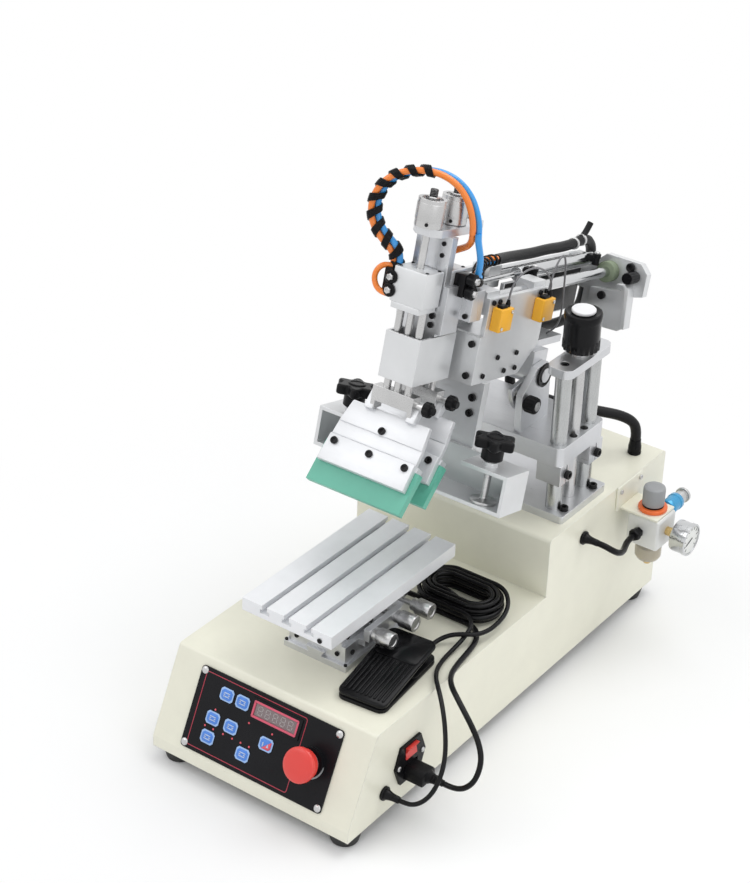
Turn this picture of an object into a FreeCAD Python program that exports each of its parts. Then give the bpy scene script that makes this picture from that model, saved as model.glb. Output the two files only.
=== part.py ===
import FreeCAD, Part
import Sketcher
import math
import os

# A bench top screen printing press with a pneumatic head on a tilting arm.
# Millimetres. +X is the operator's right, +Y points to the back, +Z is up.
# The casing is symmetric about x = 0 before the origin is moved to the middle of the outline.

SIZES = {
    # Shared values
    "origin_x": -42.5,
    "origin_y": -318.57,
    "overrun": 2.0,
    "running_fit": 0.05,
    "loose_fit": 0.5,
    "soft_gap": 0.3,
    # Casing, side profile
    "casing_half": 127.0,
    "casing_depth": 600.0,
    "casing_under": 16.0,
    "lip_high": 29.0,
    "slope_run": 45.5,
    "deck_high": 122.5,
    "step_back": 353.0,
    "rear_high": 195.0,
    "casing_wall": 2.0,
    "casing_bend": 5.0,
    "pan_wall": 2.0,
    "pan_lip": 9.0,
    "foot_radius": 17.5,
    "foot_taper": 2.5,
    "foot_inset_x": 25.0,
    "foot_inset_y": 28.0,
    # Control panel, in the plane of the slope
    "panel_half": 91.0,
    "panel_low": 5.0,
    "panel_top": 94.0,
    "panel_thick": 1.6,
    "panel_corner": 4.0,
    "window_x": 10.5,
    "window_up": 75.0,
    "window_half_x": 32.0,
    "window_half_up": 11.0,
    "window_frame": 3.5,
    "window_proud": 1.2,
    "key_half_x": 8.5,
    "key_half_up": 6.5,
    "key_proud": 0.5,
    "key_far_x": 61.0,
    "key_mid_x": 37.5,
    "key_near_x": 15.0,
    "key_top_up": 75.0,
    "key_middle_up": 46.0,
    "key_low_up": 25.3,
    "estop_x": 65.0,
    "estop_up": 51.0,
    "estop_radius": 20.0,
    "estop_stem": 10.0,
    "estop_collar": 15.5,
    "collar_high": 5.5,
    "estop_gap": 7.0,
    "estop_cap": 14.0,
    "estop_inside": 24.0,
    # Power inlet on the right side
    "inlet_y": 101.0,
    "inlet_z": 61.0,
    "inlet_half_y": 26.0,
    "inlet_end_half_y": 17.0,
    "inlet_half_z": 23.0,
    "inlet_thick": 3.0,
    "inlet_inside": 26.0,
    "inlet_body_half": 15.5,
    "rocker_z": 73.0,
    "rocker_half_y": 9.2,
    "rocker_half_z": 7.0,
    "rocker_gap": 1.1,
    "rocker_back": 5.0,
    "rocker_front": 3.0,
    "rocker_peak": 4.2,
    "rocker_pin": 1.4,
    "rocker_pin_out": 2.6,
    "plug_z": 50.0,
    "plug_half_y": 11.5,
    "plug_half_z": 8.0,
    "plug_inside": 14.0,
    "plug_body": 26.0,
    "plug_corner": 4.0,
    "relief_long": 17.0,
    "relief_radius": 5.5,
    "mains_radius": 3.0,
    "lead_radius": 2.5,
    # Glands
    "gland_flange": 10.0,
    "gland_flange_thick": 4.0,
    "gland_dome": 7.5,
    "gland_long": 18.0,
    "gland_tip": 5.0,
    "pedal_gland_y": 59.5,
    "pedal_gland_z": 42.7,
    "side_gland_y": 424.0,
    "side_gland_z": 164.0,
    "top_gland_inset": 25.0,
    "top_gland_y": 571.0,
    # Hanks of cord on the deck
    "hank_x": 62.0,
    "hank_y": 284.0,
    "hank_run": 38.0,
    "mains_fold": 18.0,
    "mains_step": 6.8,
    "lead_fold": 15.0,
    "lead_step": 5.7,
    "mains_loops": 2,
    "lead_loops": 3,
    # Pedal, put away on the deck
    "pedal_x": 79.0,
    "pedal_y": 127.0,
    "pedal_turn": 5.36,
    "pedal_half": 28.0,
    "pedal_half_long": 55.0,
    "pedal_floor": 3.0,
    "cheek_thick": 3.0,
    "cheek_low": 8.0,
    "cheek_high": 17.0,
    "treadle_low": 9.5,
    "treadle_high": 24.0,
    "treadle_thick": 4.0,
    "treadle_rib": 1.2,
    "treadle_rib_half": 1.1,
    "treadle_pin_inset": 7.0,
    "treadle_flat_share": 0.7,
    "treadle_ribs": 10,
    "treadle_rib_pitch": 4.6,
    "treadle_rib_start": 12.0,
    "treadle_rib_end": 66.0,
    "treadle_pin": 2.5,
    "pedal_wall_high": 8.0,
    "pedal_relief_x": 12.0,
    "pedal_relief_z": 5.2,
    "pedal_relief_radius": 4.0,
    "pedal_relief_long": 6.0,
    # Registration stage
    "stage_y": 168.5,
    "stage_base_half": 40.0,
    "stage_base_half_long": 60.0,
    "stage_base_thick": 7.0,
    "way_high": 6.0,
    "way_half_low": 8.0,
    "way_half_high": 12.0,
    "slide_half": 36.0,
    "slide_half_long": 56.0,
    "slide_thick": 20.0,
    "cross_half": 31.0,
    "cross_thick": 16.0,
    "turn_radius": 38.0,
    "turn_thick": 8.0,
    "mount_half": 36.0,
    "mount_half_long": 52.0,
    "mount_thick": 12.5,
    "table_half": 56.5,
    "table_half_long": 108.0,
    "table_thick": 15.0,
    "slot_pitch": 28.0,
    "slot_neck": 3.2,
    "slot_neck_deep": 5.0,
    "slot_foot": 6.0,
    "slot_foot_deep": 4.5,
    "stage_ear_x": 42.0,
    "stage_ear_thick": 7.0,
    "stage_knob_radius": 9.0,
    "stage_knob_long": 18.0,
    "stage_collar": 7.0,
    "stage_collar_long": 6.0,
    "stage_shaft": 3.0,
    "shaft_reach": 14.0,
    "y_knob_back": -24.0,
    "x_knob_back": 15.5,
    "theta_knob_back": 44.0,
    # Column on the rear block
    "column_y": 433.0,
    "post_pitch_half": 30.0,
    "post_x": 98.0,
    "post_radius": 9.0,
    "base_plate_half": 119.0,
    "base_plate_half_long": 46.0,
    "base_plate_thick": 9.0,
    "base_bolt_x": 111.5,
    "bolt_head_radius": 5.0,
    "bolt_head_deep": 5.0,
    "slab_low": 262.0,
    "slab_thick": 22.0,
    "slab_half": 111.0,
    "slab_half_long": 45.0,
    "slab_corner": 8.0,
    "boss_high": 24.0,
    "boss_inner": 81.0,
    "boss_half_long": 13.0,
    "clamp_slit": 2.0,
    "top_plate_low": 368.0,
    "top_plate_thick": 10.0,
    "top_plate_half": 15.0,
    "top_plate_half_long": 45.0,
    "top_plate_corner": 10.0,
    "screw_radius": 7.0,
    "thrust_collar": 10.0,
    "thrust_collar_high": 6.0,
    "height_knob_radius": 20.5,
    "height_knob_high": 50.0,
    "height_knob_waist": 17.0,
    "height_cap_radius": 13.0,
    "height_cap_high": 3.0,
    # Arm, in its own level frame: pivot at the origin, +Y to the back, +Z up
    "pivot_z": 338.0,
    "arm_tilt": 14.0,
    "lug_inner": 48.0,
    "lug_thick": 8.0,
    "lug_front": 41.0,
    "lug_shoulder_share": 0.25,
    "lug_back": 14.0,
    "lug_top": 13.0,
    "pivot_radius": 5.0,
    "pivot_head": 8.0,
    "pivot_head_thick": 3.0,
    "hub_half": 47.7,
    "hub_radius": 14.0,
    "base_low": 25.0,
    "base_thick": 8.0,
    "base_back": 54.0,
    "arm_half": 44.0,
    "side_thick": 5.0,
    "side_front": 124.0,
    "side_back": 6.0,
    "side_low": 4.0,
    "side_high": 96.0,
    "side_corner_y": 38.0,
    "side_corner_z": 33.0,
    "front_plate_thick": 6.0,
    "front_plate_high": 56.0,
    "bearing_inner": 17.0,
    "bearing_low": 78.0,
    "bearing_high": 102.0,
    "bearing_long": 24.0,
    "rod_x": 28.0,
    "rod_z": 90.0,
    "rod_radius": 6.0,
    "rod_front": 152.0,
    "rod_back": 170.0,
    "quadrant_inner": 40.0,
    "quadrant_thick": 5.0,
    "quadrant_radius": 46.0,
    "quadrant_start": 198.0,
    "quadrant_sweep": 42.0,
    "quadrant_slot": 38.6,
    "quadrant_slot_half": 3.2,
    "slot_start": 206.0,
    "slot_sweep": 25.0,
    "lock_angle": 225.2,
    "lock_radius": 9.5,
    "lock_long": 14.0,
    "lock_neck_share": 0.7,
    "lock_end_share": 0.8,
    "lock_screw": 3.0,
    "anchor_front": 118.0,
    "anchor_long": 10.0,
    "anchor_low": 89.0,
    "anchor_high": 105.0,
    "piston_rod_radius": 3.0,
    "piston_back": 30.0,
    "piston_long": 8.0,
    # Stroke cylinder on the carriage
    "barrel_z": 97.0,
    "barrel_radius": 8.0,
    "barrel_wall": 1.5,
    "barrel_front": 3.0,
    "barrel_cap": 3.0,
    "barrel_back": 160.0,
    "end_plate_front": 160.0,
    "end_plate_thick": 10.0,
    "end_plate_left": 40.0,
    "end_plate_right": 74.0,
    "end_plate_low": 62.0,
    "end_plate_high": 108.0,
    "end_plate_shoulder": 98.0,
    "end_plate_notch": 20.0,
    "lobe_low": 28.0,
    "lobe_corner": 10.0,
    "bumper_x": 60.0,
    "bumper_z": 92.0,
    "bumper_radius": 6.0,
    "bumper_long": 16.0,
    "web_left": 12.0,
    "web_thick": 4.0,
    "web_low": 36.0,
    "web_high": 84.0,
    "web_front": 10.0,
    "web_nose": 20.0,
    # Carriage block and head
    "block_front": 152.0,
    "block_back": 131.0,
    "block_half": 40.0,
    "block_low": 74.0,
    "block_high": 106.0,
    "pocket_half": 21.5,
    "pocket_deep": 12.5,
    "cheek_inner": 21.0,
    "cheek_wide": 6.0,
    "cheek_bottom": 60.0,
    "cheek_top": 110.0,
    "spine_front": 182.0,
    "spine_thick": 10.0,
    "spine_half": 21.0,
    "spine_low": 10.0,
    "spine_top": 160.0,
    "spine_neck_half": 17.0,
    "spine_neck_top": 57.0,
    "top_plate_front": 207.0,
    "top_plate_back": 105.0,
    "head_plate_half": 17.0,
    "head_plate_thick": 8.0,
    "head_plate_chamfer": 9.0,
    "head_notch_share": 0.13,
    "box_half": 21.0,
    "box_front": 207.0,
    "box_back": 140.0,
    "box_low": 7.0,
    "box_high": 56.0,
    "box_wall": 3.0,
    "squeegee_y": 199.0,
    "flood_y": 155.0,
    "cylinder_half": 20.0,
    "cylinder_half_deep": 15.5,
    "cylinder_low": 88.0,
    "cylinder_high": 125.0,
    "cylinder_foot_half": 17.0,
    "cylinder_foot": 6.0,
    "port_radius": 4.5,
    "port_long": 8.0,
    "elbow_radius": 5.5,
    "elbow_high": 15.0,
    "port_z": 104.0,
    # Squeegee and flood bar
    "guide_x": 13.0,
    "guide_radius": 4.0,
    "guide_top": 120.0,
    "centre_top": 206.0,
    "cup_low": 168.5,
    "cup_high": 197.0,
    "cup_radius": 14.5,
    "cup_rim": 11.0,
    "yoke_half": 20.0,
    "yoke_deep": 7.0,
    "yoke_top": 4.0,
    "yoke_bottom": 20.0,
    "ear_thick": 5.0,
    "ear_bottom": 28.7,
    "holder_angle": 33.8,
    "holder_top_y": 2.0,
    "holder_top_z": 29.0,
    "holder_top_half": 47.3,
    "holder_mid_half": 51.8,
    "holder_half": 53.7,
    "holder_fold": 26.0,
    "holder_long": 71.0,
    "holder_plate": 5.0,
    "blade_half": 58.3,
    "blade_thick": 8.0,
    "blade_inside": 24.0,
    "blade_proud": 22.5,
    "blade_fit": 0.3,
    "clip_thick": 3.0,
    # Frame carrier and its clamps
    "carrier_half": 119.0,
    "carrier_back": 109.0,
    "carrier_front": 153.0,
    "carrier_bottom": 111.0,
    "carrier_top": 67.0,
    "carrier_wall": 4.0,
    "carrier_flange_inner": 63.0,
    "bracket_half": 48.0,
    "bracket_thick": 10.0,
    "clamp_x": 88.0,
    "clamp_y": 137.0,
    "clamp_screw": 4.0,
    "clamp_nut": 8.0,
    "clamp_nut_high": 5.0,
    "clamp_foot": 14.0,
    "clamp_foot_thick": 3.0,
    "star_low": 60.0,
    "star_high": 34.0,
    "star_core": 15.0,
    "star_lobe": 6.5,
    "star_lobe_out": 16.5,
    "star_lobes": 6,
    # Sensors on the arm
    "sensor_thick": 12.0,
    "sensor_half": 12.5,
    "sensor_front_y": 105.0,
    "sensor_back_y": 20.0,
    "sensor_z": 75.0,
    # Air service unit on the right side
    "air_out": 33.0,
    "air_y": 517.0,
    "bracket_low": 166.0,
    "bracket_high": 196.0,
    "bracket_half_long": 27.0,
    "bracket_wall": 3.0,
    "bracket_reach": 50.0,
    "air_half": 20.0,
    "air_body_low": 128.0,
    "air_neck": 12.0,
    "air_ring": 16.5,
    "air_ring_high": 5.0,
    "air_knob_radius": 12.5,
    "air_knob_low": 176.0,
    "air_knob_high": 198.0,
    "bowl_radius": 15.0,
    "bowl_low": 104.0,
    "bowl_wall": 2.0,
    "drain_radius": 4.0,
    "drain_low": 97.0,
    "port_front_out": 29.0,
    "port_front_z": 147.0,
    "air_port_radius": 7.0,
    "air_port_long": 12.0,
    "valve_z": 152.0,
    "valve_core": 7.0,
    "valve_front": 546.0,
    "valve_back": 588.0,
    "valve_sleeve": 10.0,
    "valve_sleeve_front": 551.0,
    "valve_sleeve_back": 575.0,
    "valve_flange": 9.0,
    "valve_flange_thick": 3.0,
    "gauge_radius": 19.0,
    "gauge_out": 85.0,
    "gauge_thick": 20.0,
    "gauge_rim": 2.5,
    "gauge_z": 148.0,
    "gauge_stem": 5.0,
    "hose_radius": 3.0,
    "bundle_radius": 6.0,
    "tube_radius": 2.0,
    # Inside the casing
    "supply_half": 45.0,
    "supply_x": 60.0,
    "supply_front": 390.0,
    "supply_back": 560.0,
    "supply_high": 42.0,
    "manifold_half": 40.0,
    "manifold_x": 55.0,
    "manifold_front": 400.0,
    "manifold_back": 436.0,
    "manifold_high": 22.0,
    "coil_count": 4,
    "coil_pitch": 19.0,
    "coil_half": 7.5,
    "coil_high": 34.0,
    "board_half": 70.0,
    "board_front": 150.0,
    "board_back": 300.0,
    "board_high": 26.0,
}

# Routes of cords and hoses: points chosen by hand along each stretch, from the right flank outside it.
FLANK = SIZES["casing_half"]
# Mains lead from the plug's relief up over the casing's edge to the hank.
MAINS_ROUTE = [
    (FLANK + 46.0, 101.0, 50.0), (FLANK + 56.0, 101.0, 50.0), (FLANK + 67.5, 102.2, 54.5),
    (FLANK + 75.8, 105.5, 64.3), (FLANK + 78.8, 110.0, 77.0), (FLANK + 77.5, 115.0, 90.0),
    (FLANK + 70.5, 120.0, 101.5), (FLANK + 60.0, 125.0, 111.0), (FLANK + 46.0, 131.0, 120.0),
    (FLANK + 30.0, 139.0, 127.5), (FLANK + 14.0, 150.5, 130.0), (FLANK + 2.5, 167.0, 127.5),
    (FLANK - 3.5, 186.0, 126.0),
    (120.5, 207.5, 125.8), (117.0, 229.0, 125.8), (111.0, 243.5, 125.8), (102.5, 252.5, 125.8),
    (92.0, 255.8, 125.8), (81.0, 255.8, 125.8),
]
# Mains lead from the hank to the wall plug behind the table.
WALL_ROUTE = [
    (43.0, 255.8, 132.6), (29.0, 255.8, 132.6), (14.0, 256.2, 132.4), (0.0, 257.5, 130.5),
    (-12.0, 260.5, 130.5), (-22.0, 263.8, 132.8), (-32.0, 266.5, 134.5), (-42.0, 268.5, 134.8),
]
# Pedal lead from the gland up to the hank.
LEAD_ROUTE = [
    (FLANK + 18.0, 59.5, 42.7), (FLANK + 29.0, 59.5, 42.7), (FLANK + 39.5, 61.0, 47.0),
    (FLANK + 48.0, 65.5, 55.5), (FLANK + 53.0, 72.0, 67.0), (FLANK + 53.5, 81.0, 79.5),
    (FLANK + 49.5, 92.0, 92.0), (FLANK + 41.5, 103.5, 104.0), (FLANK + 31.0, 115.5, 115.5),
    (FLANK + 19.0, 127.0, 126.0), (FLANK + 6.0, 139.0, 131.0), (FLANK - 6.0, 152.5, 129.5),
    (111.5, 169.0, 126.5), (106.5, 187.0, 125.5), (105.5, 206.0, 126.5), (105.5, 223.0, 129.5),
    (105.5, 236.65, 134.8), (102.05, 245.0, 136.8), (95.7, 251.3, 138.1), (87.4, 254.75, 138.4),
    (81.0, 254.75, 138.4),
]
# Pedal lead from the hank round the deck's right side to the pedal.
PEDAL_ROUTE = [
    (81.0, 313.25, 144.1), (92.0, 313.25, 144.1), (103.0, 309.5, 142.0), (112.5, 300.0, 138.5),
    (118.5, 286.0, 135.0), (121.0, 268.0, 133.5), (121.0, 250.0, 133.5), (116.5, 233.5, 135.0),
    (104.1, 223.7, 136.0), (93.5, 218.1, 133.2), (87.05, 210.46, 130.0), (84.13, 200.9, 127.7),
    (85.25, 188.9, 127.7),
]

doc = FreeCAD.newDocument("ScreenPress")
sheet = doc.addObject("Spreadsheet::Sheet", "Sizes")
for row, (alias, amount) in enumerate(SIZES.items(), start=1):
    sheet.set("A%d" % row, alias)
    sheet.set("B%d" % row, str(amount))
    sheet.setAlias("B%d" % row, alias)
doc.recompute()


class Size:
    """A size that knows its amount and the sheet formula that it comes from."""

    def __init__(self, amount, formula):
        self.amount = amount
        self.formula = formula

    def __float__(self):
        return float(self.amount)

    def join(self, other, sign, result, turned=False):
        text = other.formula if isinstance(other, Size) else repr(other)
        first, second = (text, self.formula) if turned else (self.formula, text)
        return Size(result, "(%s %s %s)" % (first, sign, second))

    def __neg__(self):
        return Size(-self.amount, "(0 - %s)" % self.formula)

    def __add__(self, other):
        return self.join(other, "+", self.amount + float(other))

    def __radd__(self, other):
        return self.join(other, "+", other + self.amount, turned=True)

    def __sub__(self, other):
        return self.join(other, "-", self.amount - float(other))

    def __rsub__(self, other):
        return self.join(other, "-", other - self.amount, turned=True)

    def __mul__(self, other):
        return self.join(other, "*", self.amount * float(other))

    def __rmul__(self, other):
        return self.join(other, "*", other * self.amount, turned=True)

    def __truediv__(self, other):
        return self.join(other, "/", self.amount / float(other))


class Sizes:
    """The sheet's cells as attributes."""

    def __getattr__(self, alias):
        return Size(SIZES[alias], "Sizes." + alias)


S = Sizes()
ZERO = Size(0.0, "0")
UP = FreeCAD.Vector(0, 0, 1)
ALONG = {
    "x": FreeCAD.Rotation(FreeCAD.Vector(0, 1, 0), 90),
    "y": FreeCAD.Rotation(FreeCAD.Vector(-1, 0, 0), 90),
    "z": FreeCAD.Rotation(),
    "-y": FreeCAD.Rotation(FreeCAD.Vector(1, 0, 0), 90),
    "-z": FreeCAD.Rotation(FreeCAD.Vector(1, 0, 0), 180),
}


def formula(size):
    """The text that binds a property to a size."""
    return size.formula if isinstance(size, Size) else repr(size)


def put(part, x, y, z, turn=None):
    """Bind a part's place to three sizes."""
    if turn is not None:
        part.Placement = FreeCAD.Placement(FreeCAD.Vector(), turn)
    for axis, size in zip("xyz", (x, y, z)):
        part.setExpression("Placement.Base." + axis, formula(size))
    return part


def box(x, y, z):
    """A block between a low and a high size on each axis."""
    block = doc.addObject("Part::Box", "Block")
    for prop, (low, high) in zip(("Length", "Width", "Height"), (x, y, z)):
        block.setExpression(prop, formula(high - low))
    return put(block, x[0], y[0], z[0])


def along(axis, centre, start):
    """The point at start on an axis through centre."""
    first, second = centre
    return {"x": (start, first, second), "y": (first, start, second), "z": (first, second, start)}[axis]


def rod(axis, centre, low, high, radius):
    """A round bar along an axis, from low to high."""
    bar = doc.addObject("Part::Cylinder", "Bar")
    bar.setExpression("Radius", formula(radius))
    bar.setExpression("Height", formula(high - low))
    return put(bar, *along(axis, centre, low), turn=ALONG[axis])


def cone(axis, centre, low, high, low_radius, high_radius):
    """A tapered round bar along an axis."""
    bar = doc.addObject("Part::Cone", "Taper")
    bar.setExpression("Radius1", formula(low_radius))
    bar.setExpression("Radius2", formula(high_radius))
    bar.setExpression("Height", formula(high - low))
    return put(bar, *along(axis, centre, low), turn=ALONG[axis])


def fuse(*parts):
    """One solid made of several."""
    joined = doc.addObject("Part::MultiFuse", "Joined")
    joined.Shapes = list(parts)
    return joined


def cut(base, *tools):
    """A solid with one or more others taken out of it."""
    left = doc.addObject("Part::Cut", "Left")
    left.Base = base
    left.Tool = tools[0] if len(tools) == 1 else fuse(*tools)
    return left


def both(make):
    """The same piece on the right and on the left."""
    return [make(1), make(-1)]


def span(side, near, far):
    """The low and high of a piece between two distances on one side of the middle."""
    return (near, far) if side > 0 else (-far, -near)


def sketch_on(body, role, offset, outline):
    """A closed outline of straight lines with every corner bound to the sheet."""
    sketch = body.newObject("Sketcher::SketchObject", "Outline")
    plane = [item for item in body.Origin.OriginFeatures if item.Role == role][0]
    sketch.AttachmentSupport = [(plane, "")]
    sketch.MapMode = "FlatFace"
    sketch.setExpression("AttachmentOffset.Base.z", formula(offset))
    places = [FreeCAD.Vector(float(u), float(v), 0) for u, v in outline]
    count = len(places)
    for index in range(count):
        sketch.addGeometry(Part.LineSegment(places[index], places[(index + 1) % count]), False)
    for index in range(count):
        following = (index + 1) % count
        sketch.addConstraint(Sketcher.Constraint("Coincident", index, 2, following, 1))
    for index, pair in enumerate(outline):
        for kind, size in zip(("DistanceX", "DistanceY"), pair):
            datum = sketch.addConstraint(Sketcher.Constraint(kind, -1, 1, index, 1, float(size)))
            if isinstance(size, Size):
                sketch.setExpression("Constraints[%d]" % datum, formula(size))
    return sketch


def pad(plane, outline, low, high):
    """An outline seen along x, y or z, padded from low to high on that axis."""
    body = doc.addObject("PartDesign::Body", "Body")
    role = {"x": "YZ_Plane", "y": "XZ_Plane", "z": "XY_Plane"}[plane]
    offset = -high if plane == "y" else low
    sketch = sketch_on(body, role, offset, outline)
    feature = body.newObject("PartDesign::Pad", "Pad")
    feature.Profile = sketch
    feature.setExpression("Length", formula(high - low))
    return body


def lathe(outline, axis="z", centre=(ZERO, ZERO), start=ZERO):
    """A half outline of radius and height turned about an axis."""
    body = doc.addObject("PartDesign::Body", "Turned")
    sketch = sketch_on(body, "XZ_Plane", ZERO, outline)
    feature = body.newObject("PartDesign::Revolution", "Revolution")
    feature.Profile = sketch
    feature.ReferenceAxis = (sketch, ["V_Axis"])
    feature.Angle = 360
    plain = axis.strip("-")
    return put(body, *along(plain, centre, start), turn=ALONG[axis])


def rounded(part, radius, chosen):
    """Fillet the edges that the function picks by their bounding box."""
    doc.recompute()
    edges = part.Shape.Edges
    picked = [number for number, edge in enumerate(edges, start=1) if chosen(edge.BoundBox)]
    fillet = doc.addObject("Part::Fillet", "Rounded")
    fillet.Base = part
    fillet.Edges = [(number, float(radius), float(radius)) for number in picked]
    return fillet


def upright(bounds):
    """True for an edge that runs straight up."""
    return bounds.ZLength > bounds.XLength + bounds.YLength


def tube(points, radius, name):
    """A round tube on straight runs and tangent arcs through hand picked points."""
    corners = [FreeCAD.Vector(*point) for point in points]
    edges = []
    radii = []
    start = corners[0]
    for before, corner, after in zip(corners, corners[1:], corners[2:]):
        incoming = (corner - before).normalize()
        outgoing = (after - corner).normalize()
        turn = incoming.getAngle(outgoing)
        reach = 0.45 * min((corner - before).Length, (after - corner).Length)
        first = corner - incoming * reach
        last = corner + outgoing * reach
        bend = reach / math.tan(turn / 2)
        inward = (outgoing - incoming).normalize()
        centre = corner + inward * (bend / math.cos(turn / 2))
        middle = centre - inward * bend
        edges.append(Part.LineSegment(start, first).toShape())
        edges.append(Part.Arc(first, middle, last).toShape())
        radii.append(bend)
        start = last
    edges.append(Part.LineSegment(start, corners[-1]).toShape())
    return swept(edges, radius, name, radii)


def swept(edges, radius, name, radii):
    """A round section carried along joined edges."""
    spine = Part.Wire(edges)
    begin = edges[0].valueAt(edges[0].FirstParameter)
    heading = edges[0].tangentAt(edges[0].FirstParameter)
    section = Part.Wire(Part.makeCircle(float(radius), begin, heading))
    solid = spine.makePipeShell([section], True, False)
    expected = math.pi * float(radius) ** 2 * spine.Length
    print("%s length %.0f, least radius %.1f (%.1f diameters), volume share %.4f" % (
        name, spine.Length, min(radii), min(radii) / float(radius) / 2, solid.Volume / expected))
    feature = doc.addObject("Part::Feature", "Tube")
    feature.Shape = solid
    return feature


def hank(radius, fold, step, loops, low, last_run, name):
    """Loops laid in two layers: in along the lower one, up along a run, out along the upper one."""
    wire_step = float(step)
    half_run = float(S.hank_run) / 2
    count = 2 * int(float(loops))
    inner = float(fold)
    steps = [inner + (count - 1 - index) * wire_step / 2 for index in range(count)]
    steps += [inner + index * wire_step / 2 for index in range(count - last_run)]
    middle_x = float(S.hank_x)
    front = float(S.hank_y) - steps[0]
    high = float(low)
    edges = []
    radii = []
    across = front
    for index, bend in enumerate(steps):
        side = -1 if index % 2 == 0 else 1
        begin = FreeCAD.Vector(middle_x - side * half_run, across, high)
        if index == count:
            # The climb: two arcs in an upright plane, bent one after the other.
            rise = wire_step
            bow = (half_run ** 2 + (rise / 2) ** 2) / rise
            lift = math.asin(half_run / bow) / 2
            drop = bow * (1 - math.cos(lift))
            reach = bow * math.sin(lift)
            halfway = begin + FreeCAD.Vector(side * half_run, 0, rise / 2)
            finish = begin + FreeCAD.Vector(2 * side * half_run, 0, rise)
            low_point = begin + FreeCAD.Vector(side * reach, 0, drop)
            high_point = finish - FreeCAD.Vector(side * reach, 0, drop)
            edges.append(Part.Arc(begin, low_point, halfway).toShape())
            edges.append(Part.Arc(halfway, high_point, finish).toShape())
            radii.append(bow)
            high += rise
        else:
            finish = begin + FreeCAD.Vector(2 * side * half_run, 0, 0)
            edges.append(Part.LineSegment(begin, finish).toShape())
        away = 1 if side < 0 else -1
        beyond = finish + FreeCAD.Vector(side * bend, away * bend, 0)
        opposite = finish + FreeCAD.Vector(0, 2 * away * bend, 0)
        edges.append(Part.Arc(finish, beyond, opposite).toShape())
        radii.append(bend)
        across = opposite.y
    side = -1 if len(steps) % 2 == 0 else 1
    begin = FreeCAD.Vector(middle_x - side * half_run, across, high)
    finish = begin + FreeCAD.Vector(2 * side * half_run, 0, 0)
    edges.append(Part.LineSegment(begin, finish).toShape())
    coil = swept(edges, radius, name, radii)
    print("%s starts %s ends %s" % (name, edges[0].Vertexes[0].Point, tuple(finish)))
    print("%s least gap to itself %.2f" % (name, self_gap(edges, float(radius), wire_step)))
    return coil


def self_gap(edges, radius, step):
    """The least gap between stretches of a tube that lie far apart along it."""
    spine = Part.Wire(edges)
    spacing = step / 3
    points = spine.discretize(Distance=spacing)
    skip = int(math.ceil(4 * step / spacing))
    least = 1000 * step
    for index, point in enumerate(points):
        for other in points[index + skip:]:
            least = min(least, point.distanceToPoint(other))
    return least - 2 * radius


NODES = []


def node(name, pieces, frame="root"):
    """Join the pieces of one sub-part under its name and place it by its frame."""
    group = doc.addObject("Part::Compound", name)
    group.Label = name
    group.Links = list(pieces)
    if frame == "arm":
        turn = FreeCAD.Rotation(FreeCAD.Vector(-1, 0, 0), float(S.arm_tilt))
        put(group, S.origin_x, S.column_y + S.origin_y, S.pivot_z, turn)
        group.setExpression("Placement.Rotation.Angle", formula(S.arm_tilt))
    elif frame == "panel":
        rise = S.deck_high - S.lip_high
        slope = math.degrees(math.atan2(float(rise), float(S.slope_run)))
        turn = FreeCAD.Rotation(FreeCAD.Vector(1, 0, 0), slope)
        put(group, S.origin_x, S.origin_y, S.lip_high, turn)
        angle = "atan(%s / %s)" % (formula(rise), formula(S.slope_run))
        group.setExpression("Placement.Rotation.Angle", angle)
    elif frame == "pedal":
        turn = FreeCAD.Rotation(UP, float(S.pedal_turn))
        put(group, S.origin_x + S.pedal_x, S.origin_y + S.pedal_y, S.deck_high, turn)
        group.setExpression("Placement.Rotation.Angle", formula(S.pedal_turn))
    else:
        put(group, S.origin_x, S.origin_y, ZERO)
    NODES.append(group)
    return group


def casing_outline(wall):
    """The casing's side profile, moved in by a wall, with the underside left open inside."""
    rise = S.deck_high - S.lip_high
    slope = math.hypot(float(S.slope_run), float(rise))
    lean = Size(slope / float(rise), "(sqrt(%s ^ 2 + %s ^ 2) / %s)" % (
        formula(S.slope_run), formula(rise), formula(rise)))
    share = S.slope_run / rise
    low = S.casing_under - wall
    return [
        (wall, low), (S.casing_depth - wall, low), (S.casing_depth - wall, S.rear_high - wall),
        (S.step_back + wall, S.rear_high - wall), (S.step_back + wall, S.deck_high - wall),
        (S.slope_run + wall * lean - wall * share, S.deck_high - wall),
        (wall, S.lip_high + (wall - wall * lean) / share),
    ]


def in_panel_frame(part):
    """Lay a tool that was made in the slope's own plane onto the slope."""
    rise = S.deck_high - S.lip_high
    slope = math.degrees(math.atan2(float(rise), float(S.slope_run)))
    laid = doc.addObject("Part::Compound", "Laid")
    laid.Links = [part]
    put(laid, ZERO, ZERO, S.lip_high, FreeCAD.Rotation(FreeCAD.Vector(1, 0, 0), slope))
    laid.setExpression("Placement.Rotation.Angle", "atan(%s / %s)" % (formula(rise), formula(S.slope_run)))
    return laid


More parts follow.
